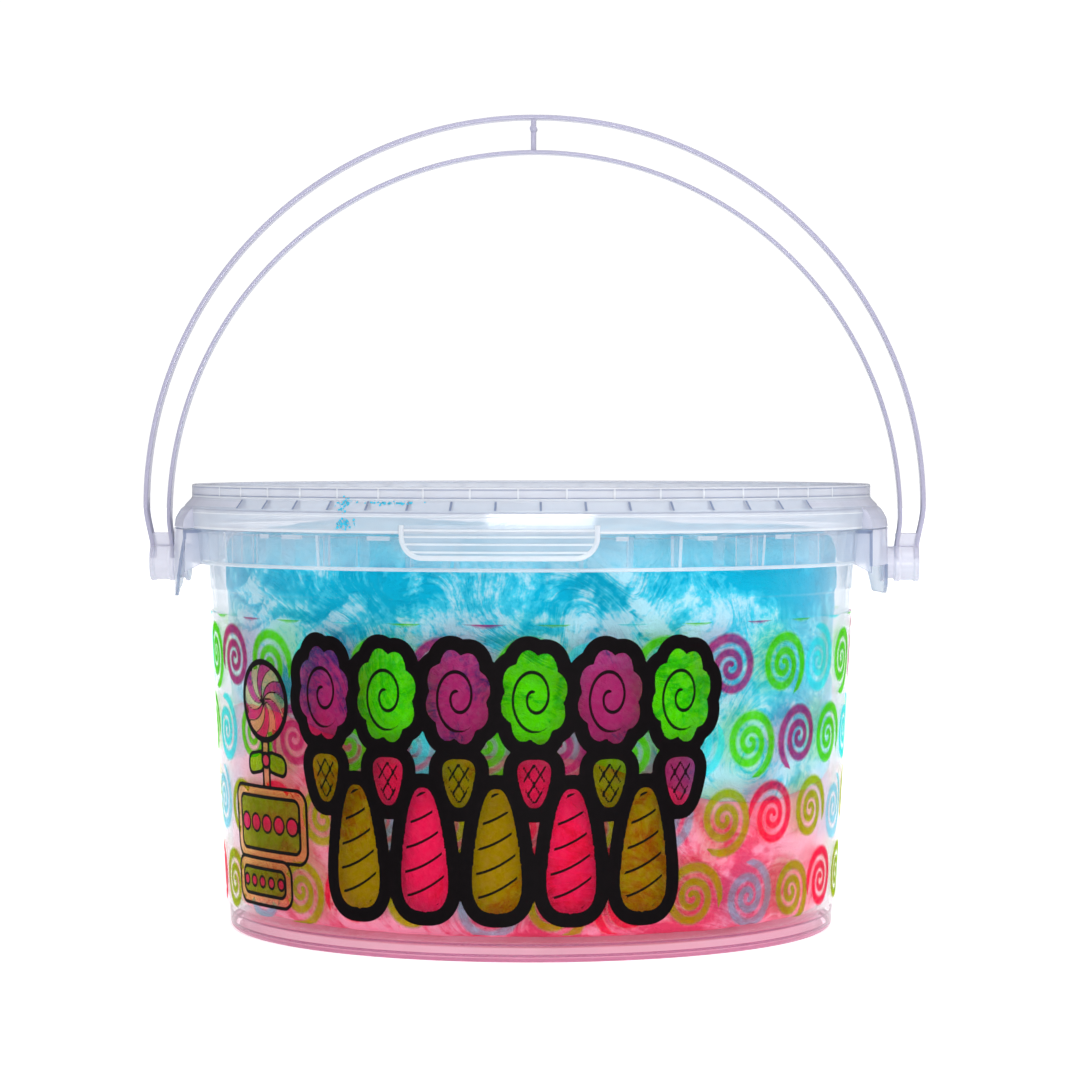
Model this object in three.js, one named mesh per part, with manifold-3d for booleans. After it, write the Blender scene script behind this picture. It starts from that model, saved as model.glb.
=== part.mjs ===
// A clear snap-lid tub of two-colour cotton candy with a swinging carrying handle.
// Millimetres, +Z up. The origin is the centre of the tub's foot, the handle swings on the X axis
// line through its two ears, and the lid's pull tab faces -Y.
import * as THREE from "three";
import { mergeVertices } from "three/addons/utils/BufferGeometryUtils.js";
import Module from "manifold-3d";

const wasm = await Module();
wasm.setup();

// ---- driving dimensions -------------------------------------------------------------------------

const FACETS = 48; // sides of every turned piece
const FINE_FACETS = 72; // sides of the short arcs cut from a turned ring
const DEGREE = Math.PI / 180;
const FIT_GAP = 0.3; // clearance between pieces that touch

// Tub wall, a cone with a small step near its top, and the foot ring it stands on.
const FOOT_RADIUS = 75;
const WALL_GROWTH = 4.3 / 80; // outer radius gained per millimetre of height
const WALL = 1;
const STEP_Z = 83.5;
const STEP = 0.4;
const FLOOR_Z = 3;
const FLOOR = 1.2;
const FOOT_RING_WIDTH = 2.6;

// Collar: a flange with a skirt that hangs from it, stiffened by radial ribs.
const FLANGE_Z = 98.75;
const FLANGE = 0.9;
const COLLAR_BOTTOM_Z = 90.3;
const COLLAR_TOP_RADIUS = 85.1;
const COLLAR_BOTTOM_RADIUS = 84.4;
const COLLAR_RIB_FIRST = 10; // degrees from the front or the back
const COLLAR_RIB_PITCH = 8;
const COLLAR_RIBS = 7; // in each quarter
const RIB = 0.8;

// Rim of the tub inside the lid, with the bead that the lid snaps over.
const RIM_OUTER = 82.3;
const RIM_INNER = 81;
const BEAD_RADIUS = 83;
const BEAD_Z = 103.2;
const RIM_TOP_Z = 105.4;

// Ears: a box on each side of the collar that carries the handle's pin, with a tongue to one side.
const EAR_RADIUS = 88.8;
const EAR_PLATE = 0.8;
const EAR_HALF_ANGLE = 20;
const EAR_TOP_Z = FLANGE_Z;
const EAR_BOTTOM_Z = 90.8;
const TONGUE_BOTTOM_Z = 82.2;
const TONGUE_NEAR = 4;
const TONGUE_FAR = 17.5;
const PIVOT_Z = 90;
const PIN_RADIUS = 4;
const PIN_HOLE_RADIUS = 4.4;
const PIN_LOBE_RADIUS = 6.4;

// Lid.
const LID_TOP_Z = 109.6;
const LID_RADIUS = 84.4;
const PANEL_Z = 104.9;
const PANEL = 1;
const PLUG_OUTER = 80.2;
const PLUG_INNER = 79.2;
const GROOVE_OUTER = 83.4;
const GROOVE_INNER = 80.4;
const GROOVE_Z = 107.2;
const GROOVE_RIB_PITCH = 7.5;
const GROOVE_BLOCK_HALF_ANGLE = 22.5; // the groove is solid over the ears
const SHOULDER_TOP_Z = 106.4;
const SHOULDER_Z = 104.1;
const SKIRT_RADIUS = 86.3;
const SKIRT_BOTTOM_Z = 99;
const SKIRT_BOTTOM_RADIUS = 86;
const SKIRT = 0.9;
const HOOK_RADIUS = 82.7;
const HOOK_Z = 102.7;
const SHOULDER_RIB_PITCH = 6.92;
const SHOULDER_RIBS = 8; // on each side of the front and of the back
const STACK_RING_RADIUS = 68;
const STACK_RING = 1.6;

// Pull tab of the lid: a curved flap over the collar with a raised border and grip ridges.
const TAB_AZIMUTH = -3;
const TAB_HALF_WIDTH = 23;
const TAB_BOTTOM_Z = 92.9;
const TAB_TOP_Z = 101;
const TAB_CORNER = 5.5;
const TAB_INNER = 85.5;
const TAB_OUTER = 86.4;
const TAB_BORDER = 1;
const TAB_BORDER_OUTER = 87;
const RIDGE_TOP_Z = 98.6;
const RIDGE_PITCH = 1.85;
const RIDGES = 3;
const RIDGE = 0.5;

// Handle: two thin rails bent to nested arcs, tied at the top and at each end block.
const HANDLE_SHIFT = 0.6; // the pins have side play, and the handle rests towards +X
const HANDLE_DEPTH = 5;
const OUTER_RAIL_Z = 103.75;
const OUTER_RAIL_RADIUS = 97;
const OUTER_RAIL = 1.3;
const INNER_RAIL_Z = 100.8;
const INNER_RAIL_RADIUS = 91.35;
const INNER_RAIL = 1.2;
const OUTER_CHEEK_X = 95.95;
const INNER_CHEEK_X = 89.95;
const CHEEK = 1.15;
const CHEEK_RADIUS = 4.7;
const TIE_BOTTOM_Z = 94;
const TIE_TOP_Z = 97.3;
const TOP_TIE = 1.2;
const GATE_RADIUS = 0.9;
const GATE_Z = 198;
const PIN_END_X = 86.2;
const PIN_HEAD_RADIUS = 4.75;
const PIN_HEAD = 0.8;
const ARC_STEPS = 30;

// Cotton candy: a blue layer on a pink one, both with soft folds, in the shut tub.
const CANDY_FLOOR_Z = 4.7;
const CANDY_TOP_Z = 100.2;
const BORDER_Z = 46.6; // height of the colour border on the axis
const BORDER_SLOPE = -0.117; // it falls towards +X
const BORDER_GAP = 0.7;
const CANDY_FACETS = 40;

// Printed clear film round the wall.
const FILM_BOTTOM_Z = 6.5;
const FILM_TOP_Z = 78.2;
const FILM = 0.3;

// ---- shaping helpers ----------------------------------------------------------------------------

// A closed three.js geometry as a solid: shared vertices merged, collapsed triangles dropped.
function solidOf(geometry) {
  const bare = geometry.clone();
  bare.deleteAttribute("normal");
  bare.deleteAttribute("uv");
  const merged = mergeVertices(bare, 1e-4);
  const triangles = [];
  const index = merged.index.array;
  for (let i = 0; i < index.length; i += 3) {
    const [a, b, c] = index.subarray(i, i + 3);
    if (a !== b && b !== c && c !== a) triangles.push(a, b, c);
  }
  return new wasm.Manifold(
    new wasm.Mesh({
      numProp: 3,
      vertProperties: new Float32Array(merged.attributes.position.array),
      triVerts: new Uint32Array(triangles),
    }),
  );
}

// The [radius, height] profile turned round Z. It runs out along the bottom and up the outside.
function turnedGeometry(profile, facets = FACETS) {
  const points = profile.map(([radius, height]) => new THREE.Vector2(radius, height));
  return new THREE.LatheGeometry(points, facets).rotateX(90 * DEGREE);
}

function turned(profile, facets) {
  return solidOf(turnedGeometry(profile, facets));
}

// A ring with a rectangular section.
function ring(inner, outer, bottom, top, facets = FINE_FACETS) {
  return turned(
    [
      [inner, bottom],
      [outer, bottom],
      [outer, top],
      [inner, top],
      [inner, bottom],
    ],
    facets,
  );
}

// A round bar along X.
function barAlongX(radius, from, to, z, facets = 18) {
  const length = Math.abs(to - from);
  const bar = new THREE.CylinderGeometry(radius, radius, length, facets);
  bar.rotateZ(90 * DEGREE).translate((from + to) / 2, 0, z);
  return solidOf(bar);
}

// A plate whose outline lies in a radial plane, as [radius, height] corners, set at an azimuth
// that is counted from -Y towards +X.
function radialPlate(corners, thickness, azimuth) {
  const outline = new THREE.Shape(corners.map(([r, z]) => new THREE.Vector2(r, z)));
  const plate = new THREE.ExtrudeGeometry(outline, { depth: thickness, bevelEnabled: false });
  plate.translate(0, 0, -thickness / 2);
  plate.rotateX(90 * DEGREE).rotateZ((azimuth - 90) * DEGREE);
  return solidOf(plate);
}

// An upright wedge from the axis that covers a range of azimuths.
function wedge(azimuth, halfAngle, bottom, top) {
  const reach = 130;
  const outline = new THREE.Shape();
  outline.moveTo(0, 0);
  for (const side of [-1, 1]) {
    const angle = (azimuth - 90 + side * halfAngle) * DEGREE;
    outline.lineTo(reach * Math.cos(angle), reach * Math.sin(angle));
  }
  const body = new THREE.ExtrudeGeometry(outline, { depth: top - bottom, bevelEnabled: false });
  return solidOf(body.translate(0, 0, bottom));
}

// The prism of an outline drawn in the plane that faces an azimuth: x across and z up.
function facingPrism(outline, azimuth, near, far) {
  const body = new THREE.ExtrudeGeometry(outline, {
    depth: far - near,
    bevelEnabled: false,
    curveSegments: 6,
  });
  body.translate(0, 0, near).rotateX(90 * DEGREE).rotateZ(azimuth * DEGREE);
  return solidOf(body);
}

function joined(solids) {
  return solids.reduce((sum, next) => sum.add(next));
}

function meshOf(name, solid, material) {
  const { vertProperties, triVerts } = solid.getMesh();
  const geometry = new THREE.BufferGeometry();
  geometry.setAttribute("position", new THREE.BufferAttribute(vertProperties, 3));
  geometry.setIndex(new THREE.BufferAttribute(triVerts, 1));
  geometry.computeVertexNormals();
  const mesh = new THREE.Mesh(geometry, material);
  mesh.name = name;
  return mesh;
}

function wallRadius(z) {
  return FOOT_RADIUS + WALL_GROWTH * z + (z > STEP_Z ? STEP : 0);
}

// ---- tub ----------------------------------------------------------------------------------------

function tubShell() {
  const flangeUnder = FLANGE_Z - FLANGE;
  const footInner = FOOT_RADIUS - FOOT_RING_WIDTH;
  return turned([
    [0, FLOOR_Z],
    [footInner - 0.8, FLOOR_Z],
    [footInner, 0],
    [FOOT_RADIUS - 0.7, 0],
    [FOOT_RADIUS, 0.8],
    [wallRadius(STEP_Z), STEP_Z],
    [wallRadius(STEP_Z + 0.3), STEP_Z + 0.3],
    [wallRadius(flangeUnder), flangeUnder],
    [COLLAR_TOP_RADIUS - WALL, flangeUnder],
    [COLLAR_BOTTOM_RADIUS - WALL, COLLAR_BOTTOM_Z],
    [COLLAR_BOTTOM_RADIUS, COLLAR_BOTTOM_Z],
    [COLLAR_TOP_RADIUS, FLANGE_Z],
    [RIM_OUTER, FLANGE_Z],
    [RIM_OUTER, BEAD_Z],
    [BEAD_RADIUS, BEAD_Z + 0.5],
    [BEAD_RADIUS, RIM_TOP_Z - 0.4],
    [RIM_OUTER, RIM_TOP_Z],
    [RIM_INNER, RIM_TOP_Z],
    [RIM_INNER, FLANGE_Z],
    [wallRadius(flangeUnder) - WALL, flangeUnder - 1.5],
    [wallRadius(STEP_Z) - WALL, STEP_Z],
    [wallRadius(FLOOR_Z + FLOOR) - WALL, FLOOR_Z + FLOOR + 1.2],
    [wallRadius(0) - WALL - 1.2, FLOOR_Z + FLOOR],
    [0, FLOOR_Z + FLOOR],
  ]);
}

// Thin plates between the wall and the collar's skirt, in four like quarters.
function collarRibs() {
  const corners = [
    [wallRadius(92) - 0.4, COLLAR_BOTTOM_Z + 0.9],
    [COLLAR_BOTTOM_RADIUS - 0.5, COLLAR_BOTTOM_Z + 0.9],
    [COLLAR_TOP_RADIUS - 0.5, FLANGE_Z - 0.4],
    [wallRadius(92) - 0.4, FLANGE_Z - 0.4],
  ];
  const ribs = [];
  for (let i = 0; i < COLLAR_RIBS; i++) {
    const angle = COLLAR_RIB_FIRST + i * COLLAR_RIB_PITCH;
    for (const azimuth of [angle, -angle, 180 - angle, 180 + angle]) {
      ribs.push(radialPlate(corners, RIB, azimuth));
    }
  }
  return ribs;
}

// Outline of the ear's outer plate: its right edge slants down to a tongue beside the pin's lobe.
function earOutline() {
  const side = EAR_RADIUS * Math.sin(EAR_HALF_ANGLE * DEGREE);
  const outline = new THREE.Shape();
  outline.moveTo(-side, EAR_TOP_Z);
  outline.lineTo(-side, EAR_BOTTOM_Z);
  outline.lineTo(-PIN_LOBE_RADIUS, EAR_BOTTOM_Z);
  outline.lineTo(-PIN_LOBE_RADIUS, PIVOT_Z);
  outline.absarc(0, PIVOT_Z, PIN_LOBE_RADIUS, Math.PI, 1.5 * Math.PI, false);
  outline.quadraticCurveTo(TONGUE_NEAR - 1.5, TONGUE_BOTTOM_Z, TONGUE_NEAR, TONGUE_BOTTOM_Z);
  outline.lineTo(TONGUE_FAR, TONGUE_BOTTOM_Z);
  outline.quadraticCurveTo(TONGUE_FAR + 2, TONGUE_BOTTOM_Z, TONGUE_FAR + 2.5, TONGUE_BOTTOM_Z + 2);
  outline.lineTo(side, EAR_TOP_Z - 2.2);
  outline.lineTo(side, EAR_TOP_Z);
  outline.closePath();
  return outline;
}

// One ear, on +X. The other is this one turned half way round.
function ear() {
  const shell = ring(EAR_RADIUS - EAR_PLATE, EAR_RADIUS, TONGUE_BOTTOM_Z - 1, EAR_TOP_Z);
  const plate = shell.intersect(facingPrism(earOutline(), 90, 60, 130));
  const cover = ring(COLLAR_TOP_RADIUS - 0.8, EAR_RADIUS, EAR_TOP_Z - FLANGE, EAR_TOP_Z).intersect(
    wedge(90, EAR_HALF_ANGLE, EAR_TOP_Z - 2, EAR_TOP_Z + 1),
  );
  const sideCorners = [
    [wallRadius(92) - 0.4, COLLAR_BOTTOM_Z + 1],
    [COLLAR_BOTTOM_RADIUS, COLLAR_BOTTOM_Z],
    [EAR_RADIUS - 0.3, COLLAR_BOTTOM_Z - 2],
    [EAR_RADIUS - 0.3, EAR_TOP_Z - 0.3],
    [wallRadius(92) - 0.4, EAR_TOP_Z - 0.3],
  ];
  const sides = [-1, 1].map((side) =>
    radialPlate(sideCorners, RIB, 90 + side * (EAR_HALF_ANGLE - 0.3)),
  );
  const hole = barAlongX(PIN_HOLE_RADIUS, EAR_RADIUS - 2.4, EAR_RADIUS + 2, PIVOT_Z);
  return joined([plate, cover, ...sides]).subtract(hole);
}

function tub() {
  const right = ear();
  return joined([tubShell(), ...collarRibs(), right, right.rotate([0, 0, 180])]);
}

// ---- lid ----------------------------------------------------------------------------------------

function lidShell() {
  const stackInner = STACK_RING_RADIUS - STACK_RING;
  return turned([
    [0, PANEL_Z - PANEL],
    [PLUG_OUTER, PANEL_Z - PANEL],
    [PLUG_OUTER, GROOVE_Z - 1],
    [GROOVE_OUTER + 0.2, GROOVE_Z - 1],
    [SKIRT_RADIUS - SKIRT, SHOULDER_Z - 0.2],
    [SKIRT_RADIUS - SKIRT, HOOK_Z + 0.3],
    [HOOK_RADIUS, HOOK_Z],
    [HOOK_RADIUS, HOOK_Z - 0.5],
    [SKIRT_BOTTOM_RADIUS - SKIRT + 0.1, HOOK_Z - 1.5],
    [SKIRT_BOTTOM_RADIUS - SKIRT + 0.1, SKIRT_BOTTOM_Z],
    [SKIRT_BOTTOM_RADIUS, SKIRT_BOTTOM_Z],
    [SKIRT_RADIUS, SHOULDER_Z],
    [LID_RADIUS, SHOULDER_TOP_Z],
    [LID_RADIUS, LID_TOP_Z - 0.3],
    [LID_RADIUS - 0.3, LID_TOP_Z],
    [GROOVE_OUTER, LID_TOP_Z],
    [GROOVE_OUTER, GROOVE_Z],
    [GROOVE_INNER, GROOVE_Z],
    [GROOVE_INNER, LID_TOP_Z],
    [PLUG_INNER, LID_TOP_Z],
    [PLUG_INNER - 0.4, PANEL_Z],
    [STACK_RING_RADIUS, PANEL_Z],
    [STACK_RING_RADIUS - 0.3, PANEL_Z + 0.8],
    [stackInner + 0.3, PANEL_Z + 0.8],
    [stackInner, PANEL_Z],
    [0, PANEL_Z],
  ]);
}

// Radial ribs that cross the lid's top groove, and the stretches over the ears where it is filled.
function grooveRibs() {
  const corners = [
    [GROOVE_INNER - 0.5, GROOVE_Z - 0.4],
    [GROOVE_OUTER + 0.5, GROOVE_Z - 0.4],
    [GROOVE_OUTER + 0.5, LID_TOP_Z - 0.4],
    [GROOVE_INNER - 0.5, LID_TOP_Z - 0.4],
  ];
  const pieces = [];
  for (let azimuth = 0; azimuth < 360; azimuth += GROOVE_RIB_PITCH) {
    const fromEar = Math.abs((azimuth % 180) - 90);
    if (fromEar > GROOVE_BLOCK_HALF_ANGLE) pieces.push(radialPlate(corners, RIB, azimuth));
  }
  const filling = ring(GROOVE_INNER - 0.5, GROOVE_OUTER + 0.5, GROOVE_Z - 0.4, LID_TOP_Z - 0.3, FACETS);
  for (const azimuth of [90, 270]) {
    const sector = wedge(azimuth, GROOVE_BLOCK_HALF_ANGLE, GROOVE_Z - 1, LID_TOP_Z + 1);
    pieces.push(filling.intersect(sector));
  }
  return pieces;
}

// Small webs inside the sloping shoulder, at the front and at the back.
function shoulderRibs() {
  const corners = [
    [BEAD_RADIUS + FIT_GAP, GROOVE_Z - 0.6],
    [BEAD_RADIUS + FIT_GAP, SHOULDER_Z + 0.2],
    [SKIRT_RADIUS - SKIRT + 0.3, SHOULDER_Z + 0.2],
    [GROOVE_OUTER + 0.4, GROOVE_Z - 0.6],
  ];
  const ribs = [];
  for (let i = 0; i < SHOULDER_RIBS; i++) {
    const angle = (i + 0.5) * SHOULDER_RIB_PITCH;
    for (const azimuth of [angle, -angle, 180 - angle, 180 + angle]) {
      ribs.push(radialPlate(corners, RIB, azimuth));
    }
  }
  return ribs;
}

// A hood on each side that widens the shoulder over the ear.
function earHood(azimuth) {
  const bottom = EAR_TOP_Z + FIT_GAP;
  const outside = [
    [EAR_RADIUS, bottom],
    [EAR_RADIUS - 0.3, bottom + 2.2],
    [EAR_RADIUS - 1.5, bottom + 4.3],
    [EAR_RADIUS - 3, bottom + 5.5],
    [LID_RADIUS - 0.3, SHOULDER_TOP_Z + 0.2],
  ];
  const inside = [
    [LID_RADIUS - 0.6, SHOULDER_TOP_Z - 0.6],
    [EAR_RADIUS - 3.4, bottom + 4.5],
    [EAR_RADIUS - 2.3, bottom + 3.5],
    [EAR_RADIUS - 1.2, bottom + 1.9],
    [EAR_RADIUS - EAR_PLATE, bottom],
  ];
  const shell = turned([...outside, ...inside, outside[0]], FINE_FACETS);
  const hood = shell.intersect(wedge(azimuth, EAR_HALF_ANGLE, bottom - 1, LID_TOP_Z));
  const endCorners = [[SKIRT_BOTTOM_RADIUS - 0.5, bottom], ...outside];
  const ends = [-1, 1].map((side) =>
    radialPlate(endCorners, RIB, azimuth + side * (EAR_HALF_ANGLE - 0.3)),
  );
  return joined([hood, ...ends]);
}

// Outline of the pull tab, drawn in by an inset: straight top, large lower corners.
function tabOutline(inset) {
  const half = TAB_HALF_WIDTH - inset;
  const bottom = TAB_BOTTOM_Z + inset;
  const corner = TAB_CORNER - inset;
  const outline = new THREE.Shape();
  outline.moveTo(half, TAB_TOP_Z);
  outline.lineTo(-half, TAB_TOP_Z);
  outline.lineTo(-half, bottom + corner);
  outline.absarc(-half + corner, bottom + corner, corner, Math.PI, 1.5 * Math.PI, false);
  outline.lineTo(half - corner, bottom);
  outline.absarc(half - corner, bottom + corner, corner, 1.5 * Math.PI, 2 * Math.PI, false);
  outline.closePath();
  return outline;
}

function pullTab() {
  const low = TAB_BOTTOM_Z - 1;
  const whole = facingPrism(tabOutline(0), TAB_AZIMUTH, 60, 130);
  const inner = facingPrism(tabOutline(TAB_BORDER), TAB_AZIMUTH, 50, 140);
  const flap = ring(TAB_INNER, TAB_OUTER, low, TAB_TOP_Z).intersect(whole);
  const band = ring(TAB_INNER, TAB_BORDER_OUTER, low, TAB_TOP_Z);
  const border = band.intersect(whole).subtract(inner);
  const ridges = [];
  for (let i = 0; i < RIDGES; i++) {
    const z = RIDGE_TOP_Z - i * RIDGE_PITCH;
    const bar = ring(TAB_OUTER - 0.3, TAB_BORDER_OUTER - 0.1, z - RIDGE, z);
    ridges.push(bar.intersect(facingPrism(tabOutline(TAB_BORDER / 2), TAB_AZIMUTH, 60, 130)));
  }
  return joined([flap, border, ...ridges]);
}

function lid() {
  const extras = [...grooveRibs(), ...shoulderRibs(), earHood(90), earHood(270), pullTab()];
  return joined([lidShell(), ...extras]);
}

// ---- handle -------------------------------------------------------------------------------------

// One edge of a rail, from the foot on +X over the top to the foot on -X: an upright foot, a
// stretch that leans out to the arc's widest point, and the half circle.
function railEdge(footX, footZ, radius, centreZ, from = 0, to = 180) {
  const points = [];
  const steps = Math.max(2, Math.round((ARC_STEPS * (to - from)) / 180));
  if (from === 0) points.push([footX, footZ], [footX, Math.max(footZ, TIE_BOTTOM_Z)]);
  for (let i = 0; i <= steps; i++) {
    const angle = (from + ((to - from) * i) / steps) * DEGREE;
    points.push([radius * Math.cos(angle), centreZ + radius * Math.sin(angle)]);
  }
  if (to === 180) points.push([-footX, Math.max(footZ, TIE_BOTTOM_Z)], [-footX, footZ]);
  return points;
}

// The slot between the two rails on the +X side, from the end tie to the top tie.
function railGap() {
  const outerRadius = OUTER_RAIL_RADIUS - OUTER_RAIL / 2;
  const innerRadius = INNER_RAIL_RADIUS + INNER_RAIL / 2;
  const lastOuter = Math.acos(TOP_TIE / 2 / outerRadius) / DEGREE;
  const lastInner = Math.acos(TOP_TIE / 2 / innerRadius) / DEGREE;
  const steps = ARC_STEPS / 2;
  const points = [[OUTER_CHEEK_X - CHEEK + 0.5, TIE_TOP_Z]];
  for (let i = 0; i <= steps; i++) {
    const angle = ((lastOuter * i) / steps) * DEGREE;
    points.push([outerRadius * Math.cos(angle), OUTER_RAIL_Z + outerRadius * Math.sin(angle)]);
  }
  for (let i = steps; i >= 0; i--) {
    const angle = ((lastInner * i) / steps) * DEGREE;
    points.push([innerRadius * Math.cos(angle), INNER_RAIL_Z + innerRadius * Math.sin(angle)]);
  }
  points.push([INNER_CHEEK_X + CHEEK + 0.4, TIE_TOP_Z]);
  return points;
}

function toPath(points, Kind) {
  return new Kind(points.map(([x, z]) => new THREE.Vector2(x, z)));
}

function rails() {
  const outer = railEdge(
    OUTER_CHEEK_X,
    PIVOT_Z,
    OUTER_RAIL_RADIUS + OUTER_RAIL / 2,
    OUTER_RAIL_Z,
  );
  const inner = railEdge(
    INNER_CHEEK_X,
    PIVOT_Z,
    INNER_RAIL_RADIUS - INNER_RAIL / 2,
    INNER_RAIL_Z,
  ).reverse();
  const fork = [
    [INNER_CHEEK_X + CHEEK, PIVOT_Z],
    [INNER_CHEEK_X + CHEEK, TIE_BOTTOM_Z],
    [OUTER_CHEEK_X - CHEEK, TIE_BOTTOM_Z],
    [OUTER_CHEEK_X - CHEEK, PIVOT_Z],
  ];
  const mirroredFork = fork.map(([x, z]) => [-x, z]).reverse();
  const outline = toPath([...outer, ...mirroredFork, ...inner, ...fork], THREE.Shape);
  const gap = railGap();
  outline.holes.push(toPath(gap, THREE.Path));
  outline.holes.push(toPath(gap.map(([x, z]) => [-x, z]), THREE.Path));
  const body = new THREE.ExtrudeGeometry(outline, { depth: HANDLE_DEPTH, bevelEnabled: false });
  return solidOf(body.translate(0, 0, -HANDLE_DEPTH / 2).rotateX(90 * DEGREE));
}

// End block on one side: two round cheeks, the boss between them and the headed pin.
function endBlock(side) {
  const bar = (radius, from, to) => barAlongX(radius, side * from, side * to, PIVOT_Z);
  return joined([
    bar(CHEEK_RADIUS, OUTER_CHEEK_X - CHEEK, OUTER_CHEEK_X),
    bar(CHEEK_RADIUS, INNER_CHEEK_X, INNER_CHEEK_X + CHEEK),
    bar(PIN_RADIUS, PIN_END_X, OUTER_CHEEK_X - 0.5),
    bar(PIN_HEAD_RADIUS, PIN_END_X, PIN_END_X + PIN_HEAD),
  ]);
}

function handle() {
  const gate = new THREE.CylinderGeometry(GATE_RADIUS, GATE_RADIUS, HANDLE_DEPTH, 12);
  const whole = joined([rails(), endBlock(1), endBlock(-1), solidOf(gate.translate(0, 0, GATE_Z))]);
  return whole.translate([HANDLE_SHIFT, 0, 0]);
}

// ---- cotton candy -------------------------------------------------------------------------------

// Height of the border between the two colours: a tilted plane with soft waves.
function borderHeight(x, y) {
  const waves = 1.6 * Math.sin(x / 11 + 0.6) + 1.1 * Math.sin(y / 13 - x / 29 + 1.9);
  return BORDER_Z + BORDER_SLOPE * x + waves;
}

// Radius of the candy against the clear wall, drawn in at the foot and at the shoulder.
function candyRadius(z) {
  const foot = 2.6 * Math.exp(-(z - CANDY_FLOOR_Z) / 9);
  const shoulder = 3.2 * Math.exp(-Math.abs(CANDY_TOP_Z - z) / 11);
  return wallRadius(z) - WALL - 1.4 - foot - shoulder;
}

// Depth of the folds that the pulled sugar makes where it meets the wall.
function foldDepth(azimuth, z) {
  const lazy = Math.sin(3 * azimuth + z / 12 + 0.8);
  const slanted = Math.sin(7 * azimuth - z / 7 + 2.1);
  const fine = Math.sin(11 * azimuth + z / 4.5);
  return 0.55 * lazy + 0.45 * slanted + 0.3 * fine - 0.4;
}

// A layer between two height functions. Its rows are shares of the layer's height, and its rings
// are shares of its radius on the bottom and on the top.
function candyLayer(bottomHeight, topHeight, rows) {
  const rings = [0, 0.3, 0.58, 0.82];
  const profile = [
    ...rings.map((share) => [share, 0]),
    ...rows.map((share) => [1, share]),
    ...rings.toReversed().map((share) => [share, 1]),
  ];
  const layer = turnedGeometry(profile, CANDY_FACETS);
  const place = layer.attributes.position;
  for (let i = 0; i < place.count; i++) {
    const share = Math.hypot(place.getX(i), place.getY(i));
    const azimuth = Math.atan2(place.getX(i), -place.getY(i));
    const row = place.getZ(i);
    const middle = FOOT_RADIUS * share;
    const x = middle * Math.sin(azimuth);
    const y = -middle * Math.cos(azimuth);
    const z = bottomHeight(x, y) + row * (topHeight(x, y) - bottomHeight(x, y));
    const radius = share * (candyRadius(z) + foldDepth(azimuth, z));
    place.setXYZ(i, radius * Math.sin(azimuth), -radius * Math.cos(azimuth), z);
  }
  return solidOf(layer);
}

function candyPink() {
  const bottom = () => CANDY_FLOOR_Z;
  const top = (x, y) => borderHeight(x, y) - BORDER_GAP / 2;
  return candyLayer(bottom, top, [0, 0.12, 0.3, 0.5, 0.7, 0.88, 1]);
}

function candyBlue() {
  const bottom = (x, y) => borderHeight(x, y) + BORDER_GAP / 2;
  const top = (x, y) => {
    const edge = 3.4 * Math.pow(Math.hypot(x, y) / FOOT_RADIUS, 4);
    return CANDY_TOP_Z + 0.8 * Math.sin(x / 9) + 0.7 * Math.sin(y / 8 + x / 17) - edge;
  };
  return candyLayer(bottom, top, [0, 0.1, 0.24, 0.38, 0.52, 0.66, 0.8, 0.92, 1]);
}

// ---- printed film -------------------------------------------------------------------------------

function film() {
  const inner = (z) => wallRadius(z) + FIT_GAP;
  return turned([
    [inner(FILM_BOTTOM_Z), FILM_BOTTOM_Z],
    [inner(FILM_BOTTOM_Z) + FILM, FILM_BOTTOM_Z],
    [inner(FILM_TOP_Z) + FILM, FILM_TOP_Z],
    [inner(FILM_TOP_Z), FILM_TOP_Z],
    [inner(FILM_BOTTOM_Z), FILM_BOTTOM_Z],
  ]);
}

// ---- materials and assembly ---------------------------------------------------------------------

const clearPlastic = new THREE.MeshStandardMaterial({
  color: 0xe4e8ef,
  roughness: 0.15,
  metalness: 0,
  transparent: true,
  opacity: 0.35,
});
const railPlastic = clearPlastic.clone();
railPlastic.color.set(0xd8d7e6);
const lidPlastic = clearPlastic.clone();
lidPlastic.opacity = 0.45;
const filmPlastic = clearPlastic.clone();
filmPlastic.color.set(0xa8cf6a);
const bluePulledSugar = new THREE.MeshStandardMaterial({ color: 0x7fd0e6, roughness: 0.9, metalness: 0 });
const pinkPulledSugar = new THREE.MeshStandardMaterial({ color: 0xf2a0b4, roughness: 0.9, metalness: 0 });

const cottonCandyTub = new THREE.Group();
cottonCandyTub.add(
  meshOf("tub", tub(), clearPlastic),
  meshOf("lid", lid(), lidPlastic),
  meshOf("handle", handle(), railPlastic),
  meshOf("candy_blue", candyBlue(), bluePulledSugar),
  meshOf("candy_pink", candyPink(), pinkPulledSugar),
  meshOf("label", film(), filmPlastic),
);

export default cottonCandyTub;
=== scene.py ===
# A clear snap-lid tub of two-colour cotton candy with a swinging carrying handle.
import math

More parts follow.
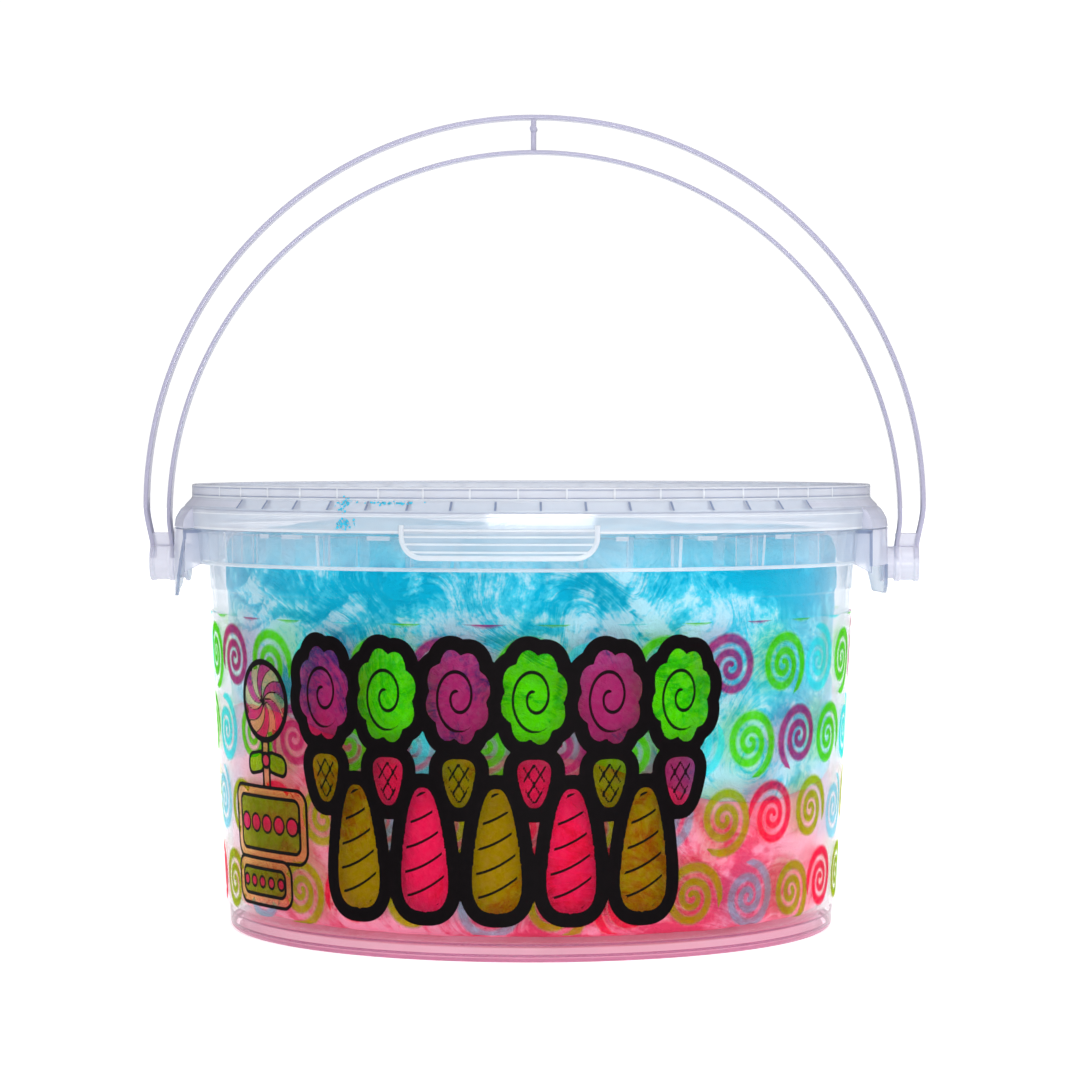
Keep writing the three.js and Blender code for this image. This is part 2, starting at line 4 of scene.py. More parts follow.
import bmesh
import bpy
import numpy as np
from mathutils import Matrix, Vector


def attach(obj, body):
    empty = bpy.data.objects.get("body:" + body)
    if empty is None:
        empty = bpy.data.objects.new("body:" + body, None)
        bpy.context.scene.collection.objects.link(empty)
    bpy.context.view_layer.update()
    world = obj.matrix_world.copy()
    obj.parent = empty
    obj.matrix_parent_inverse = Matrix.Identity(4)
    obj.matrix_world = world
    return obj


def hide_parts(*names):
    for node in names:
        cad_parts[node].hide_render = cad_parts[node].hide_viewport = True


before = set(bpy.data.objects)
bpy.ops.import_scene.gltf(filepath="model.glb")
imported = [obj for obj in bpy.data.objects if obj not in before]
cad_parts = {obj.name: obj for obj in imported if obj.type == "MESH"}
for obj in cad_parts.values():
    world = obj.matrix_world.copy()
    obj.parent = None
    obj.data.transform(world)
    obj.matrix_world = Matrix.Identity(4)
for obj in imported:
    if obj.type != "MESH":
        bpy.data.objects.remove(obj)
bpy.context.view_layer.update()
MM = 0.001  # sizes and places are in millimetres, and become metres when a mesh is made

# ---- tub: wall, foot and rim ----
# An injection-moulded polypropylene tub: a thin cone standing on a foot ring, with a floor, and
# the rim and bead that the lid snaps over. It is one clear, slightly milky moulding.

SIDES = 240
FOOT_RADIUS = 75.0
WALL_GROWTH = 4.3 / 80  # of the radius with the height
WALL = 1.0
STEP_Z = 83.5
STEP = 0.4
STEP_RISE = 0.4
FLOOR_Z = 3.0
FLOOR_TOP = 4.2
FLANGE_Z = 98.75
FLANGE_UNDER = FLANGE_Z - 0.9
RIM_OUTER = 82.3
RIM_INNER = 81.0
RIM_TOP_Z = 105.4
CLEAR_HAZE = 0.05  # at and below it the flow marks don't show
BACK_SCATTER = 0.35  # the share of the milky light that goes on through the wall


def srgb(red, green, blue):
    """A display colour from 0 to 255 as the linear colour that shaders use."""
    value = np.array([red, green, blue]) / 255
    linear = np.where(value <= 0.04045, value / 12.92, ((value + 0.055) / 1.055) ** 2.4)
    return (*linear.tolist(), 1.0)


def places(x, y, z):
    """Points from coordinates that are spread to one shape."""
    return np.stack(np.broadcast_arrays(x, y, z), -1)


def around(azimuth, radius, height):
    """Points at an azimuth in degrees (from -Y towards +X), a radius and a height."""
    turn = np.radians(azimuth)
    return places(radius * np.sin(turn), -radius * np.cos(turn), height)


def oval(turn, wide, high, middle=(0, 0)):
    """Flat points at the angles of a turn, as far from the middle as wide and high say."""
    return np.stack([middle[0] + wide * np.cos(turn), middle[1] + high * np.sin(turn)], -1)


def carried_round(azimuths, section):
    """A grid of points: a (radius, height) section at each azimuth."""
    return around(np.asarray(azimuths)[:, None], *section.T)


def grid_quads(rows, columns, wrap_rows=False, wrap_columns=False):
    """The four corner numbers of each cell of a grid of rows x columns points."""
    i = np.arange(rows if wrap_rows else rows - 1)[:, None]
    j = np.arange(columns if wrap_columns else columns - 1)
    above, beside = (i + 1) % rows, (j + 1) % columns
    corners = [i * columns + j, i * columns + beside, above * columns + beside, above * columns + j]
    return np.stack(corners, -1).reshape(-1, 4)


def rounded(corners, radius, closed=False, steps=3):
    """A polyline whose corners are cut back by up to radius and bridged by a parabola. A brace
    point just outside each end of the parabola keeps flats flat."""
    corners = np.asarray(corners, float)
    ways = [np.roll(corners, shift, axis=0) - corners for shift in (1, -1)]
    lengths = [np.linalg.norm(way, axis=1, keepdims=True) for way in ways]
    cut = np.minimum(radius, 0.4 * np.minimum(*lengths))
    start, end = (corners + way / length * cut for way, length in zip(ways, lengths))
    t = np.linspace(0, 1, steps)[None, :, None]
    arc = (1 - t) ** 2 * start[:, None] + 2 * t * (1 - t) * corners[:, None] + t**2 * end[:, None]
    first, last = ((place + 0.2 * (place - corners))[:, None] for place in (start, end))
    line = np.concatenate([first, arc, last], axis=1)
    if closed:
        return line.reshape(-1, 2)
    return np.concatenate([corners[:1], line[1:-1].reshape(-1, 2), corners[-1:]])


def skin(grid):
    """A surface over a grid of points whose columns close on themselves."""
    return grid.reshape(-1, 3), [grid_quads(*grid.shape[:2], wrap_columns=True)], []


def turned(profile):
    """The (radius, height) profile turned round Z."""
    return skin(around(np.arange(SIDES) * 360 / SIDES, profile[:, :1], profile[:, 1:]))


def tube(grid, loop=False):
    """A closed section carried along a path: grid[i, j] is point j of the section at step i."""
    rows, columns = grid.shape[:2]
    section = np.arange(columns)[None]
    caps = [] if loop else [section[:, ::-1], section + (rows - 1) * columns]
    return grid.reshape(-1, 3), [grid_quads(rows, columns, wrap_rows=loop, wrap_columns=True)], caps


def ring(section):
    """A closed (radius, height) section carried once round Z."""
    return tube(carried_round(np.arange(SIDES) * 360 / SIDES, section), loop=True)


def bead(radius, height, half_width, half_height):
    """A ring of elliptic section."""
    return ring(oval(np.arange(10) * math.pi / 5, half_width, half_height, (radius, height)))


def together(*parts):
    """Several (points, faces, edge faces) parts as one."""
    starts = np.cumsum([0] + [len(part[0]) for part in parts[:-1]])
    faces, edges = (
        [block + start for part, start in zip(parts, starts) for block in part[kind]] for kind in (1, 2)
    )
    return np.concatenate([part[0] for part in parts]), faces, edges


FIELD_KINDS = {1: ("FLOAT", "value"), 3: ("FLOAT_VECTOR", "vector"), 4: ("FLOAT_COLOR", "color")}


def make_piece(name, part, materials, stands_for=(), body="tub_body", sheet=False, fields=None):
    """Makes the object of a part, with the last material on its edge faces, and an attribute for
    each of the fields: numbers, vectors or colours, one for each point."""
    points, faces, edges = part
    quads = [face for block in faces + edges for face in block.tolist()]
    mesh = bpy.data.meshes.new(name)
    mesh.from_pydata((points * MM).tolist(), [], quads)
    for material in materials:
        mesh.materials.append(material)
    on_edge = np.zeros(len(quads), np.int32)
    on_edge[sum(len(block) for block in faces):] = len(materials) - 1
    mesh.polygons.foreach_set("material_index", on_edge)
    for field_name, values in (fields or {}).items():
        values = values.reshape(len(points), -1)
        kind, data = FIELD_KINDS[values.shape[1]]
        attribute = mesh.attributes.new(field_name, kind, "POINT")
        attribute.data.foreach_set(data, values.ravel().astype(np.float32))
    work = bmesh.new()
    work.from_mesh(mesh)
    bmesh.ops.remove_doubles(work, verts=work.verts, dist=1e-7)
    unused = [point for point in work.verts if not point.link_faces]
    bmesh.ops.delete(work, geom=unused, context="VERTS")
    if not sheet:
        bmesh.ops.recalc_face_normals(work, faces=work.faces)
    for face in work.faces:
        face.smooth = True
    work.to_mesh(mesh)
    work.free()
    mesh.set_sharp_from_angle(angle=math.radians(50))
    piece = bpy.data.objects.new(name, mesh)
    bpy.context.scene.collection.objects.link(piece)
    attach(piece, body)
    if stands_for:
        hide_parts(*stands_for)


def node(tree, kind, inputs=None, **settings):
    """Adds a shader node and returns its outputs. An input given as a socket is linked, and any
    other is set."""
    made = tree.nodes.new("ShaderNode" + kind)
    for key, value in settings.items():
        setattr(made, key, value)
    for key, value in (inputs or {}).items():
        if isinstance(value, bpy.types.NodeSocket):
            tree.links.new(value, made.inputs[key])
        else:
            made.inputs[key].default_value = value
    return made.outputs


def sums(tree, operation, first, second=0.0, third=0.0, clamp=False):
    return node(tree, "Math", {0: first, 1: second, 2: third}, operation=operation, use_clamp=clamp)[0]


def blend_colours(tree, factor, first, second):
    return node(tree, "Mix", {0: factor, 6: first, 7: second}, data_type="RGBA")[2]


def blend_shaders(tree, share, first, second):
    return node(tree, "MixShader", {0: share, 1: first, 2: second})[0]


def noise(tree, scale, detail, roughness=0.5, distortion=0.0, at=None):
    """Noise of about 0 to 1 at a vector, or else at the place on the object."""
    at = node(tree, "TexCoord")["Object"] if at is None else at
    looks = {"Scale": scale, "Detail": detail, "Roughness": roughness, "Distortion": distortion}
    return node(tree, "TexNoise", {"Vector": at, **looks})["Fac"]


def new_material(name):
    material = bpy.data.materials.new(name)
    material.use_nodes = True
    material.node_tree.nodes.clear()
    return material, material.node_tree


def finished(material, shader):
    node(material.node_tree, "OutputMaterial", {"Surface": shader})
    return material


def times(colour, factor):
    return tuple(factor * part for part in colour[:3]) + (1.0,)


def clear_plastic(
    name, tints, milk, haze=0.5, edge_haze=0.3, gloss=0.12, grain=60.0, edge=3.0, head_on=0.009
):
    """Clear moulded polypropylene. What lies behind shows through the first tint, which turns to
    the second where the wall is seen along itself. A milky share, the haze, scatters light, more so
    and darker there and uneven with the flow of the moulding. A weak gloss lies on top, least of
    all head on. The larger the edge power, the narrower that zone."""
    material, tree = new_material(name)
    facing = node(tree, "LayerWeight", {"Blend": 0.5})["Facing"]
    grazing = sums(tree, "POWER", facing, edge)
    flow = noise(tree, grain, 2.0, 0.62) if haze > CLEAR_HAZE else 0.5
    tint = blend_colours(tree, grazing, *((*tint, 1) for tint in tints))
    clear = node(tree, "BsdfTransparent", {"Color": tint})[0]
    milk = srgb(*milk)
    shade = blend_colours(tree, flow, times(milk, 0.9), milk)
    shade = blend_colours(tree, grazing, shade, times(milk, 0.82))
    scattered = [node(tree, kind, {"Color": shade})[0] for kind in ("BsdfDiffuse", "BsdfTranslucent")]
    scattered = blend_shaders(tree, BACK_SCATTER, *scattered)
    share = sums(tree, "MULTIPLY_ADD", flow, 0.5 * haze, 0.75 * haze)
    share = sums(tree, "MULTIPLY_ADD", grazing, edge_haze, share, clamp=True)
    mirror = sums(tree, "MULTIPLY_ADD", sums(tree, "POWER", facing, 5.0), 0.6, head_on)
    shine = node(tree, "BsdfGlossy", {"Color": (1, 1, 1, 1), "Roughness": gloss})[0]
    body = blend_shaders(tree, share, clear, scattered)
    return finished(material, blend_shaders(tree, mirror, body, shine))


def wall_radius(height):
    """Outer radius of the wall: the cone, with its small step near the top."""
    return FOOT_RADIUS + WALL_GROWTH * height + STEP * np.clip((height - STEP_Z) / STEP_RISE, 0, 1)


STEP_TOP = STEP_Z + STEP_RISE
tub_profile = [
    (0, FLOOR_Z), (FOOT_RADIUS - 3.4, FLOOR_Z), (FOOT_RADIUS - 2.6, 0), (FOOT_RADIUS - 0.7, 0),
    (FOOT_RADIUS, 0.8), (wall_radius(STEP_Z), STEP_Z), (wall_radius(STEP_TOP), STEP_TOP),
    (wall_radius(FLANGE_UNDER), FLANGE_UNDER), (RIM_OUTER, FLANGE_Z - 0.2), (RIM_OUTER, 103.2),
    (RIM_OUTER + 0.7, 103.7), (RIM_OUTER + 0.7, 105.0), (RIM_OUTER, RIM_TOP_Z), (RIM_INNER, RIM_TOP_Z),
    (RIM_INNER, FLANGE_Z), (wall_radius(FLANGE_UNDER) - WALL, FLANGE_UNDER - 1.5),
    (wall_radius(STEP_Z) - WALL, STEP_Z), (wall_radius(FLOOR_TOP) - WALL, FLOOR_TOP + 1.2),
    (wall_radius(0) - WALL - 1.2, FLOOR_TOP), (0, FLOOR_TOP),
]
tub_plastic = clear_plastic(
    "clear_tub_plastic", tints=((0.994, 0.995, 0.998), (0.88, 0.89, 0.92)), milk=(232, 235, 240),
    haze=0.0, edge_haze=0.55, edge=5.0, head_on=0.0,
)
# The foot's pink and mauve tints are painted light: pink light from the floss, bounced onto the clear foot
# ring and its bends.
foot_plastic = clear_plastic(
    "foot_painted_pink_bounce", tints=((0.99, 0.89, 0.94), (0.90, 0.76, 0.83)), milk=(228, 160, 190),
    grain=30.0,
)
mauve_bend = clear_plastic(
    "foot_bend_painted_pink_bounce", tints=((0.88, 0.74, 0.84), (0.84, 0.66, 0.75)), milk=(206, 140, 176),
    haze=0.35, edge_haze=0.2,
)
shell_points, (shell_faces,), _ = turned(rounded(tub_profile, 0.45))
in_foot = shell_points[shell_faces, 2].mean(1) < FLOOR_TOP - 0.1
tub_shell = (shell_points, [shell_faces[~in_foot]], [shell_faces[in_foot]])
foot_bends = together(
    bead(FOOT_RADIUS - 0.15, FLOOR_TOP - 0.1, 0.3, 0.25),
    bead(FOOT_RADIUS - 0.35, 1.6, 0.35, 0.3),
    bead(FOOT_RADIUS - 0.9, 0.5, 0.5, 0.4),
)
make_piece("tub_shell", tub_shell, [tub_plastic, foot_plastic], ["tub"])
make_piece("tub_foot_bends", foot_bends, [mauve_bend])

# ---- tub collar ----
# The flange below the lid turns down into a collar, milky because it is thick, with a bead along
# its foot drawn near white as a painted highlight. Upright ribs join it to the wall, some of the
# bays between them are closed by a web, and short ledges hang at the top of the open ones. The
# edges of the longer ribs and of the webs, and the ledges, are painted highlights too.

COLLAR_BOTTOM_Z = 90.3
COLLAR_TOP_RADIUS = 85.1
COLLAR_BOTTOM_RADIUS = 84.4
RIB_INNER = wall_radius(92) - 0.5
RIB_ANGLES = 10 + 8 * np.arange(7)  # in each quarter
RIB = 0.8
BRIGHT_RIBS = (26, 42, 122, 146)  # modulo half a turn: those whose outer edge meets the collar
WEBS = ((11, 17.5), (37, 41.5), (50.5, 57.5), (-17.5, -11), (-33.5, -27), (-49.5, -34.5), (-57.5, -50.5))
LEDGES = ((15.5, 17.5), (29.5, 33), (45.5, 49), (-48, -46), (-42.5, -38), (-25, -21))


def slab(outer, inner):
    """A plate between two grids of points: both faces, and as edges the rim round them."""
    face = grid_quads(*outer.shape[:2])
    number = np.arange(outer[..., 0].size).reshape(outer.shape[:2])
    rim = np.concatenate([number[0, :-1], number[:-1, -1], number[-1, :0:-1], number[:0:-1, 0]])
    after = np.roll(rim, -1)
    edge = np.stack([rim, after, after + number.size, rim + number.size], -1)
    points = np.concatenate([outer.reshape(-1, 3), inner.reshape(-1, 3)])
    return points, [face, face[:, ::-1] + number.size], [edge]


def radial_plates(corners, thickness, azimuths):
    """Upright plates with four (radius, height) corners, one in the radial plane of each azimuth."""
    radius, height = np.transpose(corners).astype(float)
    azimuth = np.asarray(azimuths, float)[:, None, None]
    turn = np.radians(azimuth)
    tangent = np.concatenate([np.cos(turn), np.sin(turn), 0 * turn], -1)[:, :, None]
    offset = np.array([-0.5, 0.5])[None, :, None, None] * thickness
    points = around(azimuth, radius, height) + tangent * offset
    number = 8 * np.arange(len(azimuths))[:, None, None]
    broad = number + [[0, 1, 2, 3], [7, 6, 5, 4]]
    narrow = number + [[0, 4, 5, 1], [1, 5, 6, 2], [2, 6, 7, 3], [3, 7, 4, 0]]
    return points.reshape(-1, 3), [broad.reshape(-1, 4)], [narrow.reshape(-1, 4)]


def four_ways(angles):
    """Angles of a front right quarter, and mirrored into the other three."""
    return np.concatenate([angles, -angles, 180 - angles, 180 + angles])


def curved_plates(spans, low, high, radius, thickness):
    """Plates that follow the wall, one for each span of azimuths and one opposite to it."""
    plates = []
    for half_turn in (0, 180):
        for first, last in spans:
            turn = np.linspace(half_turn + first, half_turn + last, 9)
            height = np.array([low, 0.5 * (low + high), high])[:, None]
            plates.append(slab(around(turn, radius, height), around(turn, radius - thickness, height)))
    return plates


collar_section = [
    (RIB_INNER, FLANGE_UNDER), (COLLAR_TOP_RADIUS - WALL, FLANGE_UNDER),
    (COLLAR_BOTTOM_RADIUS - WALL, COLLAR_BOTTOM_Z), (COLLAR_BOTTOM_RADIUS, COLLAR_BOTTOM_Z),
    (COLLAR_TOP_RADIUS, FLANGE_Z), (RIB_INNER, FLANGE_Z),
]
collar_rib = [
    (RIB_INNER, COLLAR_BOTTOM_Z + 0.9), (COLLAR_BOTTOM_RADIUS - 0.6, COLLAR_BOTTOM_Z + 0.9),
    (COLLAR_TOP_RADIUS - 0.6, FLANGE_Z - 0.4), (RIB_INNER, FLANGE_Z - 0.4),
]
# The milk is tinted a little blue: painted light bounced from the blue floss.
collar_plastic = clear_plastic(
    "clear_collar_plastic", tints=((0.985, 0.99, 0.995), (0.84, 0.85, 0.90)), milk=(232, 240, 248),
    haze=0.09,
)
# Near-white milky plastic for beads, rib edges, ledges and borders: a painted highlight for the light that
# gathers in thick edges of clear plastic.
painted_highlight_lines = clear_plastic(
    "painted_highlight_edge", tints=((0.97, 0.97, 0.98), (0.9, 0.9, 0.93)), milk=(253, 254, 255),
    edge_haze=0.25, gloss=0.08,
)
rib_azimuths = four_ways(RIB_ANGLES)
shows = np.isin(rib_azimuths % 180, BRIGHT_RIBS)
collar_parts = together(
    ring(rounded(collar_section, 0.3, closed=True)),
    radial_plates(collar_rib, RIB, rib_azimuths[shows]),
    *curved_plates(WEBS, low=91.3, high=98.2, radius=82.9, thickness=0.4),
)
short_ribs = radial_plates([(r - 0.5 * (r > 82), z) for r, z in collar_rib], 0.6, rib_azimuths[~shows])
collar_foot = bead(COLLAR_BOTTOM_RADIUS - 0.45, COLLAR_BOTTOM_Z + 0.45, 0.42, 0.45)
ledges = curved_plates(LEDGES, low=97.3, high=98.3, radius=83.3, thickness=0.5)
make_piece("tub_collar", collar_parts, [collar_plastic, painted_highlight_lines])
make_piece("tub_collar_short_ribs", short_ribs, [collar_plastic])
make_piece("tub_collar_beads", together(collar_foot, *ledges), [painted_highlight_lines])

# ---- tub ears ----
# On each side a curved plate stands off the collar and carries the handle's pin. It has a cover,
# two side walls that run back to the tub, and a tongue that hangs beside the pin. Both ears are one
# shape, turned half way round, and are part of the tub's moulding.

EAR_RADIUS = 88.8
EAR_PLATE = 0.8
EAR_HALF_ANGLE = 20.0
EAR_BOTTOM_Z = 90.8
PIVOT_Z = 90.0
PIN_LOBE_RADIUS = 6.4
TONGUE = [(0, 83.6), (2, 82.6), (4, 82.2), (17.5, 82.2), (19, 82.6), (20, 84.2), (30.4, 96.55)]


def rounded_box(left, right, low, high, radius, steps=3):
    """A closed section: a rectangle with round corners."""
    corners = [(left, low), (right, low), (right, high), (left, high)]
    return rounded(corners, radius, closed=True, steps=steps)


def rows_between(low, high, count):
    """Rows of values in even steps from the low ones to the high ones."""
    share = np.linspace(0, 1, count)[:, None]
    return low * (1 - share) + high * share


def ear_lower_edge(across):
    """Height of the ear plate's lower edge: straight, then the pin's lobe, then the tongue."""
    lobe = PIVOT_Z - np.sqrt(np.maximum(PIN_LOBE_RADIUS**2 - across**2, 0))
    tongue = np.interp(across, *np.transpose(TONGUE))
    return np.where(across > 0, tongue, np.minimum(lobe, EAR_BOTTOM_Z))


def side_walls(azimuth, *walls):
    """Plates in the radial planes near both ends of an ear's arc."""
    ends = azimuth + np.array([-1, 1]) * (EAR_HALF_ANGLE - 0.3)
    return [radial_plates(corners, RIB, ends) for corners in walls]


def ear(azimuth):
    side = EAR_RADIUS * math.sin(math.radians(EAR_HALF_ANGLE))
    across = np.linspace(-side, side, 90)
    height = rows_between(ear_lower_edge(across), FLANGE_Z, 8)
    turn = azimuth + np.degrees(np.arcsin(across / EAR_RADIUS))
    plate = slab(around(turn, EAR_RADIUS, height), around(turn, EAR_RADIUS - EAR_PLATE, height))
    turns = azimuth + np.linspace(-EAR_HALF_ANGLE, EAR_HALF_ANGLE, 24)
    cover = tube(carried_round(turns, rounded_box(84.4, 88.7, 97.9, 98.7, 0.25)))
    outer_wall = [(84.0, 90.5), (88.3, 88.4), (88.3, 98.3), (84.0, 98.3)]
    inner_wall = [(RIB_INNER, 91.2), (84.1, 91.2), (84.1, 98.3), (RIB_INNER, 98.3)]
    return together(plate, cover, *side_walls(azimuth, outer_wall, inner_wall))


# Grey-blue plastic for the ears' edges and the lid's webs and dark bends: painted shade, for the darker
# surroundings seen along thick clear edges.
painted_shade_lines = clear_plastic(
    "painted_shade_edge", tints=((0.78, 0.80, 0.86), (0.68, 0.70, 0.78)), milk=(158, 170, 196),
    edge_haze=0.2, gloss=0.16,
)
ear_plastic = clear_plastic(
    "clear_ear_plastic", tints=((0.98, 0.98, 0.99), (0.78, 0.79, 0.85)), milk=(242, 241, 250),
    haze=0.34, grain=80.0,
)
# The ears' edges are drawn dark: painted shade.
make_piece("tub_ears", together(ear(90), ear(270)), [ear_plastic, painted_shade_lines])

# ---- cotton candy ----
# Spun sugar packed by hand: a pink layer and a blue one on top, each a flattened, tucked-in cushion
# that draws in from the wall at the foot and at the shoulder. It lies in pale, fibrous folds, with
# deeper colour in the creases between them that is painted shade.

TURN = 2 * math.pi
CANDY_FLOOR_Z = 4.7
CANDY_TOP_Z = 99.6
CALM_Z = 90.0  # above it the collar hides the fibres
CALM_RADIUS = 68.0  # and outside it
BORDER_Z = 46.6
BORDER_SLOPE = -0.117
BORDER_LAP = 1.6  # how far each layer reaches past the border
CANDY_COLUMNS = 450
HALF_LAYER = 27.0  # about half the height of a layer
SQUARENESS = 20  # of the cushions' corners
WAVES = 18
FOLDS = ((3, 44, 2.0, 0.55, 55), (4, 17, 1.7, 0.4, 33))  # seed, wavelength, squash, share, patch
BLUE_COLOURS = (srgb(178, 230, 244), srgb(70, 206, 232), srgb(0, 178, 214))
PINK_COLOURS = (srgb(254, 154, 182), srgb(250, 110, 144), srgb(238, 66, 108))


def waves(points, wavelength, seed, squash=1.0):
    """A smooth random field of about -1 to 1: the mean of plane waves of random direction."""
    draw = np.random.default_rng(seed)
    direction = draw.normal(size=(3, WAVES))
    direction *= TURN / wavelength / np.linalg.norm(direction, axis=0)
    direction *= draw.uniform(0.7, 1.35, WAVES)
    direction[2] *= squash
    phase = draw.uniform(0, TURN, WAVES)
    return np.cos(points @ direction + phase).sum(-1) / math.sqrt(0.7 * WAVES)


def border_height(x, y):
    """The colour border: a plane that falls towards +X, with soft waves and one dip."""
    soft = 1.6 * np.sin(x / 11 + 0.6) + 1.1 * np.sin(y / 13 - x / 29 + 1.9)
    dip = 5.5 * np.exp(-((x - 52) ** 2 + (y + 50) ** 2) / (2 * 24**2))
    return BORDER_Z + BORDER_SLOPE * x + soft - dip


def candy_radius(height):
    """Radius of the floss: near the wall at the foot, and a little further from it higher up."""
    gap = 1.0 + 1.6 * np.clip((height - 30) / 40, 0, 1)
    foot = 0.6 * np.exp(-(height - CANDY_FLOOR_Z) / 5)
    shoulder = 1.8 * np.exp(-np.abs(CANDY_TOP_Z - height) / 8)
    return wall_radius(height) - WALL - gap - foot - shoulder


def candy_top(x, y):
    edge = 1.8 * (np.hypot(x, y) / FOOT_RADIUS) ** 4
    return CANDY_TOP_Z + 0.8 * np.sin(x / 9) + 0.7 * np.sin(y / 8 + x / 17) - edge


def cushion_profile(rows, hidden):
    """A half superellipse from the bottom of the axis to its top, as (radius, height) shares from
    0 to 1, in steps of like length that are longer where the floss is hidden."""
    angle = np.linspace(-math.pi / 2, math.pi / 2, 6000)
    radius = np.cos(angle).clip(0) ** (2 / SQUARENESS)
    radius[[0, -1]] = 0.0
    height = np.sign(np.sin(angle)) * np.abs(np.sin(angle)) ** (2 / SQUARENESS)
    step = np.hypot(np.diff(radius) * FOOT_RADIUS, np.diff(height) * HALF_LAYER)
    step *= np.where(hidden(height[1:], radius[1:]), 0.25, 1.0)
    walked = np.concatenate([[0], np.cumsum(step)])
    at = np.linspace(0, walked[-1], rows)
    return np.interp(at, walked, radius), (np.interp(at, walked, height) + 1) / 2


def fold(value):
    """How deep a place lies in a crease: steep on one side of a value of nought, slow on the other."""
    return np.where(value > 0, np.exp(-value / 0.5), np.exp(value / 0.13))


def bend(points, seed):
    """Places moved about by slow waves, so that what is drawn at them flows."""
    return points + 7 * np.stack([waves(points, 34, seed + k) for k in range(3)], -1)


def pull(points, seed):
    """The field along whose level lines the sugar fibres lie: a slope that is bent by waves, which
    are too weak to close a line into a ring."""
    slope = points @ np.array([0.05, -0.05, 0.06])
    return slope + 0.7 * waves(bend(points, seed), 60, seed + 8, squash=1.3)


def floss_layer(colour, floss, rows, hidden, low, high, seed, relief, deepening):
    """Makes a layer: a cushion between its low and its high surface, cut in at the creases of a
    large and a small field of folds. Its fields are the depth of the colour, which grows in the
    creases as painted shade and by the deepening, the calm behind the collar, the distance from
    the colour border, and where each place lies across and along the fibres."""
    radius_share, height_share = (share[:, None] for share in cushion_profile(rows, hidden))
    azimuth = np.arange(CANDY_COLUMNS) * 360 / CANDY_COLUMNS
    azimuth, radius_share, height_share = np.broadcast_arrays(azimuth, radius_share, height_share)
    flat = around(azimuth, radius_share * (FOOT_RADIUS - 1.5), 0)
    bottom, top = (surface(flat[..., 0], flat[..., 1]) for surface in (low, high))
    height = bottom + (top - bottom) * height_share
    base = around(azimuth, radius_share * candy_radius(height), height)
    bent = bend(base, seed)
    ragged = 0.12 * waves(base, 7, seed + 5) + 0.08 * waves(base, 3.5, seed + 13)
    large, small = (
        fold(waves(bent, length, seed + k, squash) + ragged)
        * (share + 0.9 * waves(base, patch, seed + 3 + k)).clip(0, 1)
        for k, length, squash, share, patch in FOLDS
    )
    push = ragged - relief * (large + 0.4 * small)
    out_share = radius_share.clip(0, 1) ** 6
    up_share = np.where(height_share > 0.5, 1.0, -1.0) * (1 - out_share)
    points = base + around(azimuth, out_share, up_share) * push[..., None]
    fibre = np.stack([9 * pull(base, seed), 2.0 * waves(bent, 60, seed + 9), 0.1 * height], -1)
    x, y, z = np.moveaxis(points, -1, 0)
    # Deeper colour in the creases: painted shade.
    crease = (large + 0.5 * small).clip(0, 1)
    depth = crease + deepening(x, z + 3 * waves(points, 30, seed + 11)) + 0.2 * waves(points, 70, seed + 12)
    fields = {
        "depth": depth,
        "calm": np.clip((z - CALM_Z) / 2.5, 0, 1) * np.clip((np.hypot(x, y) - CALM_RADIUS) / 4, 0, 1),
        "from_border": np.abs(z - border_height(x, y) + 1.5 * waves(points, 12, seed + 10)),
        "fibre": fibre,
    }
    solid = "candy_" + colour
    make_piece(colour + "_floss_layer", skin(points), [floss], [solid], fields=fields)


def field(tree, name, kind="Fac"):
    return node(tree, "Attribute", attribute_name=name)[kind]


def floss_material(name, colours, border):
    """Spun sugar: pale billows, deeper colour in the creases as painted shade and in fine streaks
    along the fibres, and a soft change to the border colour. It is quite matt."""
    material, tree = new_material(name)
    fibre = field(tree, "fibre", "Vector")
    streaks = noise(tree, 1.1, 4.0, 0.7, 0.4, at=fibre)
    clouds = noise(tree, 75.0, 3.0, 0.65, 1.0)
    fuzz = noise(tree, 500.0, 2.0, 0.75)
    wisps = noise(tree, 0.22, 3.0, 0.6, 0.8, at=fibre)
    depth = sums(tree, "SUBTRACT", field(tree, "depth"), 3.2)
    for texture, weight in ((wisps, 1.5), (clouds, 1.5), (streaks, 1.9), (fuzz, 1.3)):
        depth = sums(tree, "MULTIPLY_ADD", texture, weight, depth)
    calmed = sums(tree, "MULTIPLY_ADD", depth, 0.25, 0.28)
    depth = node(tree, "Mix", {0: field(tree, "calm"), 2: depth, 3: calmed})[0]
    shade = node(tree, "ValToRGB", {"Fac": depth})["Color"]
    stops = tree.nodes[-1].color_ramp.elements
    stops.new(0.5)
    for stop, colour in zip(stops, colours):
        stop.color = colour
    near = node(tree, "MapRange", {0: field(tree, "from_border"), 1: 0.0, 2: 3.5, 3: 0.7, 4: 0.0})[0]
    ruffle = sums(tree, "ADD", streaks, fuzz)
    bump = node(tree, "Bump", {"Height": ruffle, "Strength": 0.8, "Distance": 0.001})["Normal"]
    coat = {"Roughness": 0.95, "Normal": bump, "Specular IOR Level": 0.1}
    coat["Base Color"] = blend_colours(tree, near, shade, border)
    return finished(material, node(tree, "BsdfPrincipled", coat)[0])


def pink_deepening(x, z):
    return 0.38 - 0.36 * np.clip((z - 8) / 25, 0, 1)


def blue_deepening(x, z):
    """Deeper under the collar and towards +X, and pale again at the very top."""
    under_collar = 0.55 * np.clip((z - 80.5) / 5, 0, 1) - 0.5 * np.clip((z - 97.5) / 2, 0, 1)
    return under_collar + 0.55 * np.clip((x - 25) / 30, 0, 1) - 0.05


